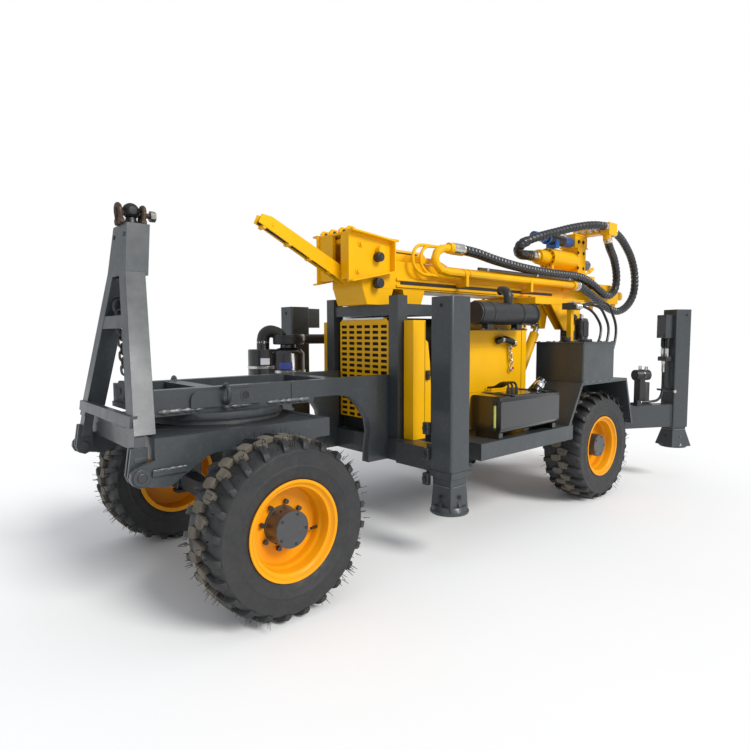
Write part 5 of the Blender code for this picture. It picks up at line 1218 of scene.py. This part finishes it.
class RIG_OT_mast(bpy.types.Operator):
    """Folded mast with its head, jib, saddles, cradle and pivot posts"""
    bl_idname = "rig.mast"
    bl_label = "Mast"

    def execute(self, context):
        beam = dressed("mast_beam", "yellow", 0.004, "satin", "bolt", "dark", "weld")
        for side, _ in SIDES:
            for x, out, z, bevel, finish in (
                    ((-3.10, -1.20), 0.012, (1.614, 1.632), 0.002, "yellow"),
                    ((-3.10, -1.20), 0.010, (1.572, 1.590), 0.002, "yellow"),
                    ((-3.05, -1.24), 0.006, (1.592, 1.612), 0.001, "satin")):
                beam.add(side_slab(side, x, (MAST_Y, MAST_Y + out), z, bevel), finish)
            wing = [(-1.420, 1.7405), (-1.420, 1.782), (-1.570, 1.778), (-1.630, 1.762), (-1.690, 1.7405)]
            beam.add(side_plate(side, wing, MAST_Y + 0.002, MAST_Y + 0.012, 0.002))
            heel = [(-4.285, 1.5590), (-4.200, 1.5590), (-4.230, 1.500), (-4.285, 1.500)]
            beam.add(side_plate(side, heel, 0.112, 0.126, 0.002))
        beam.add(rod(*run("x", -1.152, -1.520, TOP_TUBE), 0.060, 32, bevel=0.003))
        beam.add(rod(*run("x", -1.150, -1.178, TOP_TUBE), 0.074, 36, bevel=0.003))
        for y in (TOP_TUBE[0] + 0.052, TOP_TUBE[0] - 0.052):
            beam.add(slab((-1.440, y - 0.008, 1.8015), (-1.240, y + 0.008, 1.8065), 0.001), "satin")
        beam.add(slab((-4.286, -0.128, 1.560), (-4.2795, 0.128, 1.738), 0.001))
        for y in (-0.10, 0.10):
            for z in (1.60, 1.70):
                beam.add(screw((-4.2862, y, z), (-1, 0, 0), 0.011, 0.008), "bolt")
        beam.done("mast_beam")
        head = dressed("mast_head", "yellow", 0.003, "satin", "bolt", "dark")
        for side, _ in SIDES:
            y = side * HEAD_Y
            high, low = (-1.021, 1.745), (-1.021, 1.586)
            head.add(rod(*run("y", y, y + side * 0.046, high), 0.030, 24, 0.028, 0.004), "satin")
            head.add(rod(*run("y", y, y + side * 0.050, high), 0.012, 14), "bolt")
            head.add(rod(*run("y", y, y + side * 0.040, low), 0.034, 24, 0.032, 0.004), "satin")
            for x, z in ((-0.892, 1.816), (-0.869, 1.650)):
                head.add(rod(*run("y", y, y + side * 0.004, (x, z)), 0.021, 22, bevel=0.001))
                head.add(screw((x, y + side * 0.004, z), (0, side, 0), 0.012, 0.010, False))
        for low, high in ((-0.164, -0.010), (0.070, 0.164)):
            head.add(slab((-0.836, low, 1.604), (-0.812, high, 1.884), 0.002))
        ear = [(-0.900, 1.880), (-0.816, 1.880), (-0.812, 1.905), (-0.832, 1.924), (-0.868, 1.922),
               (-0.900, 1.898)]
        for y in (-0.140, -0.050, 0.046, 0.118):
            head.add(plate(ear, "y", y, y + 0.012, 0.001))
            head.add(rod(*run("y", y + 0.012, y + 0.018, (-0.848, 1.902)), 0.010, 16), "bolt")
        head.add(slab((-1.090, -0.140, 1.862), (-0.900, 0.140, 1.872), 0.002))
        for side, _ in SIDES:
            head.add(side_slab(side, (-1.262, -1.130), (0.070, 0.118), (1.872, 1.886), 0.003))
        head.done("mast_head")
        jib = dressed("hoist_jib", "yellow", 0.0015, "dark", "bolt")
        swing = Matrix.Translation((-0.860, 0.030, 1.620)) @ Matrix.Rotation(math.radians(-25.5), 4, "Y")
        # Painted shade: black blocks fill the gap between the jib's two blades, so the gap reads as shade.
        for x0, x1 in ((0.020, 0.098), (0.124, 0.258), (0.284, 0.418), (0.444, 0.598), (0.624, 0.640)):
            jib.add(slab((x0, -0.0190, -0.018), (x1, 0.0190, 0.030)), "dark", swing)
        for x in (0.050, 0.570):
            jib.add(screw((x, 0.0303, 0.012), (0, 1, 0), 0.008, 0.004), "yellow", swing)
        for x in (0.111, 0.271, 0.431, 0.611):
            jib.add(slab((x - 0.010, -0.0305, -0.034), (x + 0.010, 0.0305, -0.022), 0.002), "yellow", swing)
        jib.done("hoist_jib")
        cradle = dressed("mast_cradle", "yellow", 0.004, "bolt", "satin", "zinc")
        cheek = [(-3.250, 1.5060), (-2.790, 1.5060), (-3.000, 1.292), (-3.190, 1.292), (-3.250, 1.350)]
        for side, _ in SIDES:
            cradle.add(side_plate(side, cheek, 0.2975, 0.3095, 0.002))
            boss = run("y", side * 0.3090, side * 0.3200, CRADLE_PIN)
            cradle.add(rod(*boss, 0.046, 30, 0.043, 0.003), "satin")
            cradle.add(screw((-3.150, side * 0.3195, 1.390), (0, side, 0), 0.017, 0.012, False), "satin")
            for x in (-2.62, -2.74, -3.28):
                cradle.add(screw((x, side * 0.285, 1.5045), (0, 0, -1), 0.011, 0.008), "bolt")
            for x in (-2.60, -2.86, -3.10):
                cradle.add(screw((x, side * 0.230, 1.5605), (0, 0, 1), 0.012, 0.009), "bolt")
        cradle.done("mast_cradle")
        for side, label in SIDES:
            post = dressed("mast_post_" + label, "grey", 0.004, "bolt", "satin")
            for x in (-3.225, -3.075):
                post.add(screw((x, side * 0.325, 0.6475), (0, 0, 1), 0.014, 0.011), "bolt")
            post.add(bead(*run("x", -3.238, -3.062, (side * 0.2960, 0.6500)), 0.005, seed=5))
            post.done("mast_post_" + label)
        return {"FINISHED"}


class RIG_OT_rotary(bpy.types.Operator):
    """Sliding rotary head with its motors and swivel"""
    bl_idname = "rig.rotary"
    bl_label = "Rotary head"

    def execute(self, context):
        head = dressed("rotary_head", "yellow", 0.004, "bolt", "zinc", "satin", "cable", "dark", "steel_grey")
        for x in (-3.600, -3.700):
            for z in (1.88, 2.02):
                head.add(screw((x, 0.0855, z), (0, 1, 0), 0.011, 0.008), "bolt")
        head.add_all(ring_of(12, (-3.1995, *SWIVEL), 0.076, "x", (1, 0, 0), 0.0075, 0.007), "bolt")
        stay = [(-3.387, 0.150, 1.722), (-3.430, 0.172, 1.735), (-3.560, 0.172, 1.800),
                (-3.669, 0.172, 1.849)]
        head.add(tube(smooth(stay, 0.02), 0.011, 12))
        head.add(rod((-3.640, 0.172, 1.836), (-3.715, 0.172, 1.871), 0.018, 16, 0.016, 0.004))
        for x in (-3.625, -3.705):
            for way in (1, -1):
                head.add(screw((x, way * 0.0755, 2.125), (0, way, 0), 0.013, 0.009), "dark")
        for z in (2.066, 2.180):
            head.add(slab((-3.790, -0.082, z), (-3.550, 0.082, z + 0.012), 0.003))
        head.add(rod(*run("x", -3.738, -3.912, REAR_SHAFT), 0.050, 28, bevel=0.006), "steel_grey")
        head.add(rod(*run("x", -3.905, -3.925, REAR_SHAFT), 0.024, 18, bevel=0.003), "steel_grey")
        for start, end, z in ((-3.722, -3.6765, 2.243), (-3.828, -3.8735, 2.205)):
            head.add(band(*run("x", start, end, (0.288, z)), 0.0415, 0.003), "zinc")
        head.add(band((-3.7470, 0.288, 2.1462), (-3.7640, 0.288, 2.1150), 0.0400, 0.002), "zinc")
        for k, y in enumerate((0.02, 0.09, 0.16, 0.22)):
            head.add(rod(*run("x", -3.725, -3.690, (y, 2.216)), 0.016, 6, bevel=0.001), "zinc")
            head.add(rod(*run("x", -3.692, -3.668 + 0.006 * k, (y, 2.216)), 0.0115, 12), "zinc")
            head.add(screw((-3.775, y, 2.2452), (0, 0, 1), 0.010, 0.008), "bolt")
        head.done("rotary_head")
        motor = dressed("rotary_motor", "blue", 0.003, "bolt", "zinc", "cable")
        motor.add(rod(*run("x", -2.955, -3.160, MOTOR), 0.040, 28, bevel=0.004))
        motor.add(rod(*run("x", -2.935, -2.962, MOTOR), 0.026, 20, bevel=0.003), "bolt")
        motor.add(rod(*run("x", -3.150, -3.176, MOTOR), 0.054, 32, bevel=0.003))
        motor.add_all(ring_of(6, (-3.1495, *MOTOR), 0.045, "x", (1, 0, 0), 0.0060, 0.006, 30), "bolt")
        for x in (-3.330, -3.470):
            motor.add(rod(*run("z", 2.150, 2.186, (x, MOTOR[0])), 0.0155, 6, bevel=0.001), "zinc")
            motor.add(rod(*run("z", 2.184, 2.204, (x, MOTOR[0])), 0.0115, 12), "zinc")
        motor.add(rod(*run("x", -3.190, -3.420, MOTOR), 0.0505, 32, bevel=0.002), "cable")
        motor.done("rotary_motor")
        swivel = dressed("swivel", "yellow", 0.003, "zinc", "bolt", "hose")
        goose = [(-2.955, 0.0, 1.945), (-2.905, 0.003, 1.944), (-2.800, 0.010, 1.940), (-2.735, 0.025, 1.955),
                 (-2.712, 0.045, 1.985), (-2.728, 0.065, 2.018), (-2.7795, 0.0798, 2.0418)]
        swivel.add(wound(goose, 0.0425, 0.040), "hose")
        swivel.add(band(*run("x", -3.020, -2.950, SWIVEL), 0.0480, 0.003), "zinc")
        swivel.add(rod(*run("x", -3.150, -3.052, SWIVEL), 0.0700, 32, 0.0630, 0.006))
        swivel.done("swivel")
        return {"FINISHED"}


class RIG_OT_lift(bpy.types.Operator):
    """Two mast lift cylinders: painted barrels and bright rods"""
    bl_idname = "rig.lift"
    bl_label = "Lift cylinders"

    def execute(self, context):
        for _, label in SIDES:
            plain("lift_barrel_" + label, "yellow", 0.002)
            plain("lift_rod_" + label, "chrome", 0.001)
        return {"FINISHED"}


# Pipes and hoses

# The pipes run along X: y and z of each
MUD_PIPE = (0.222, 1.690)
MUD_BEND = (0.222, 1.855)
OIL_PIPE = (0.2260, 1.7380)
# The points that each hose runs through
HOSE_OUTER = (
    (-3.3603, 0.222, 1.690), (-3.400, 0.222, 1.690), (-3.530, 0.217, 1.653), (-3.690, 0.215, 1.596),
    (-3.854, 0.215, 1.538), (-3.988, 0.216, 1.500), (-4.108, 0.225, 1.484), (-4.214, 0.238, 1.508),
    (-4.308, 0.250, 1.565), (-4.369, 0.260, 1.644), (-4.385, 0.268, 1.736), (-4.366, 0.275, 1.834),
    (-4.318, 0.280, 1.929), (-4.241, 0.284, 2.020), (-4.139, 0.287, 2.098), (-4.030, 0.288, 2.162),
    (-3.915, 0.288, 2.205), (-3.8753, 0.288, 2.205),
)
HOSE_INNER = (
    (-1.7753, 0.222, 1.855), (-1.815, 0.222, 1.855), (-1.950, 0.219, 1.846), (-2.150, 0.215, 1.820),
    (-2.450, 0.215, 1.792), (-2.800, 0.215, 1.776), (-3.150, 0.215, 1.777), (-3.380, 0.215, 1.774),
    (-3.560, 0.215, 1.744), (-3.718, 0.215, 1.689), (-3.880, 0.215, 1.636), (-3.995, 0.212, 1.640),
    (-4.082, 0.210, 1.694), (-4.105, 0.214, 1.780), (-4.064, 0.228, 1.872), (-3.967, 0.250, 1.976),
    (-3.832, 0.278, 2.050), (-3.7774, 0.288, 2.0902), (-3.7681, 0.288, 2.1077),
)
HOSE_SWIVEL = (
    (-2.7803, 0.0801, 2.0421), (-2.8151, 0.0901, 2.0582), (-2.930, 0.118, 2.098), (-3.090, 0.152, 2.142),
    (-3.280, 0.198, 2.193), (-3.450, 0.245, 2.228), (-3.560, 0.276, 2.241), (-3.635, 0.288, 2.243),
    (-3.6747, 0.288, 2.243),
)
HOSE_LEG = (
    (-0.532, -0.015, 0.9297), (-0.532, -0.015, 0.895), (-0.528, -0.010, 0.830), (-0.512, 0.004, 0.765),
    (-0.478, 0.022, 0.718), (-0.430, 0.040, 0.695), (-0.370, 0.054, 0.6883), (-0.300, 0.056, 0.6863),
    (-0.275, 0.056, 0.6863), (-0.2453, 0.056, 0.6863),
)


def loop_route(k):
    """One of three nested loops from the valve over the oil tank down to the tank's rear face."""
    y, low_y = 0.410 + 0.035 * k, 0.500 + 0.035 * k
    rear = -3.323 - 0.065 * k
    return [
        (-2.9253, y, 1.488), (-2.960, y, 1.488), (-3.080, y + 0.004, 1.498 + 0.010 * k),
        (rear + 0.100, y + 0.018, 1.460 + 0.030 * k), (rear + 0.018, y + 0.035, 1.390 + 0.016 * k),
        (rear, y + 0.055, 1.315), (rear + 0.050, low_y - 0.020, 1.225 - 0.018 * k),
        (rear + 0.150, low_y - 0.008, 1.148 - 0.026 * k), (-3.070 - 0.030 * k, low_y, 1.108 - 0.018 * k),
        (-2.965, low_y, 1.100), (-2.9303, low_y, 1.100),
    ]


def wound(points, radius, turn):
    """A tube whose radius swells on each turn of a spiral guard."""
    route = smooth(points, turn / 6)
    swell = [1.0 if (k % 6) / 6 < 0.62 else 0.90 for k in range(len(route))]
    swell[0] = swell[-1] = 0.90
    return tube(route, radius, 16, swell)


def declared(piece, points):
    """Work out the path along the points, moved by PLACE, and its length; neither is kept. The piece is not
    used.
    """
    path = [tuple(Vector(p) + PLACE) for p in smooth(points, 0.05)]
    tuple(Vector(points[0]) + PLACE)
    length_of(path)


def thin_hose(name, body, points):
    """A plain hydraulic hose."""
    hose = Piece("hydraulic_" + name, body, "cable")
    hose.add(tube(smooth(points, 0.012), 0.011, 12))
    declared(hose.done("hose_" + name, sharp=25), points)


def wrapped_hose(name, body, points, sizes):
    """A hose in a spiral guard."""
    hose = Piece("wrapped_" + name, body, "hose")
    hose.add(wound(points, sizes.hose, sizes.wrap))
    declared(hose.done("hose_" + name, sharp=25), points)


def length_of(path):
    """The length along a row of points."""
    return sum((Vector(b) - Vector(a)).length for a, b in zip(path, path[1:]))


class RIG_OT_pipes(bpy.types.Operator):
    """Mud pipe with its bends and fittings, three wrapped hoses and four thin ones"""
    bl_idname = "rig.pipes"
    bl_label = "Pipes and hoses"

    def execute(self, context):
        sizes = context.scene.rig_sizes
        pipe = dressed("mud_pipe", "yellow", 0.002, "zinc", "bolt", "satin", "black")
        pipe.add(band(*run("x", -3.300, -3.3585, MUD_PIPE), 0.0415, 0.003), "zinc")
        pipe.add(band(*run("x", -1.662, -1.7735, MUD_BEND), 0.0415, 0.003), "zinc")
        for x in (-1.775, -1.835, -3.262):
            pipe.add(band(*run("x", x, x - 0.026, MUD_PIPE), 0.0330, 0.002))
        hoop = ((-0.165, 0.093), (-0.080, 0.090), (-0.038, 0.076), (-0.008, 0.041), (0.0, -0.010),
                (-0.022, -0.060), (-0.085, -0.096), (-0.165, -0.102))
        for x in (-1.301, -1.375):
            pipe.add(tube(smooth([(x + a, 0.204, 1.763 + b) for a, b in hoop], 0.010), 0.0110, 12))
        pipe.add(tube([(x, *OIL_PIPE) for x in (-1.950, -2.200, -3.250)], 0.0115, 14), "black")
        for x in (-2.05, -2.70, -3.20):
            pipe.add(band(*run("x", x - 0.009, x + 0.009, OIL_PIPE), 0.0135, 0.001), "zinc")
        pipe.done("mud_pipe")
        wrapped_hose("outer", "mast", HOSE_OUTER, sizes)
        wrapped_hose("inner", "mast", HOSE_INNER, sizes)
        wrapped_hose("swivel", "rotary", HOSE_SWIVEL, sizes)
        place = arm_place(1)
        thin_hose("leg", "outrigger_near", [place @ Vector(p) for p in HOSE_LEG])
        for k, letter in enumerate("abc"):
            thin_hose("loop_" + letter, "chassis", loop_route(k))
        return {"FINISHED"}


STEPS = (
    RIG_OT_stage, RIG_OT_pipes, RIG_OT_tyres, RIG_OT_rims, RIG_OT_dolly, RIG_OT_drawbar, RIG_OT_chassis,
    RIG_OT_outriggers, RIG_OT_grille, RIG_OT_bodywork, RIG_OT_tanks, RIG_OT_exhaust, RIG_OT_mast,
    RIG_OT_rotary, RIG_OT_lift,
)


class RIG_PT_panel(bpy.types.Panel):
    """The rig's sizes, colours and building steps"""
    bl_idname = "RIG_PT_panel"
    bl_label = "Drilling rig"
    bl_space_type = "VIEW_3D"
    bl_region_type = "UI"
    bl_category = "Drilling rig"

    def draw(self, context):
        column = self.layout.column()
        for group, names in ((context.scene.rig_sizes, RigSizes.__annotations__),
                             (context.scene.rig_colours, RigColours.__annotations__)):
            for name in names:
                column.prop(group, name)
        for step in STEPS:
            column.operator(step.bl_idname)


CLASSES = (RigSizes, RigColours, *STEPS, RIG_PT_panel)


def register():
    for each in CLASSES:
        bpy.utils.register_class(each)
    bpy.types.Scene.rig_sizes = bpy.props.PointerProperty(type=RigSizes)
    bpy.types.Scene.rig_colours = bpy.props.PointerProperty(type=RigColours)


def unregister():
    del bpy.types.Scene.rig_colours
    del bpy.types.Scene.rig_sizes
    for each in reversed(CLASSES):
        bpy.utils.unregister_class(each)


def main():
    register()
    for step in STEPS:
        group, name = step.bl_idname.split(".")
        getattr(getattr(bpy.ops, group), name)()


if __name__ == "__main__":
    main()
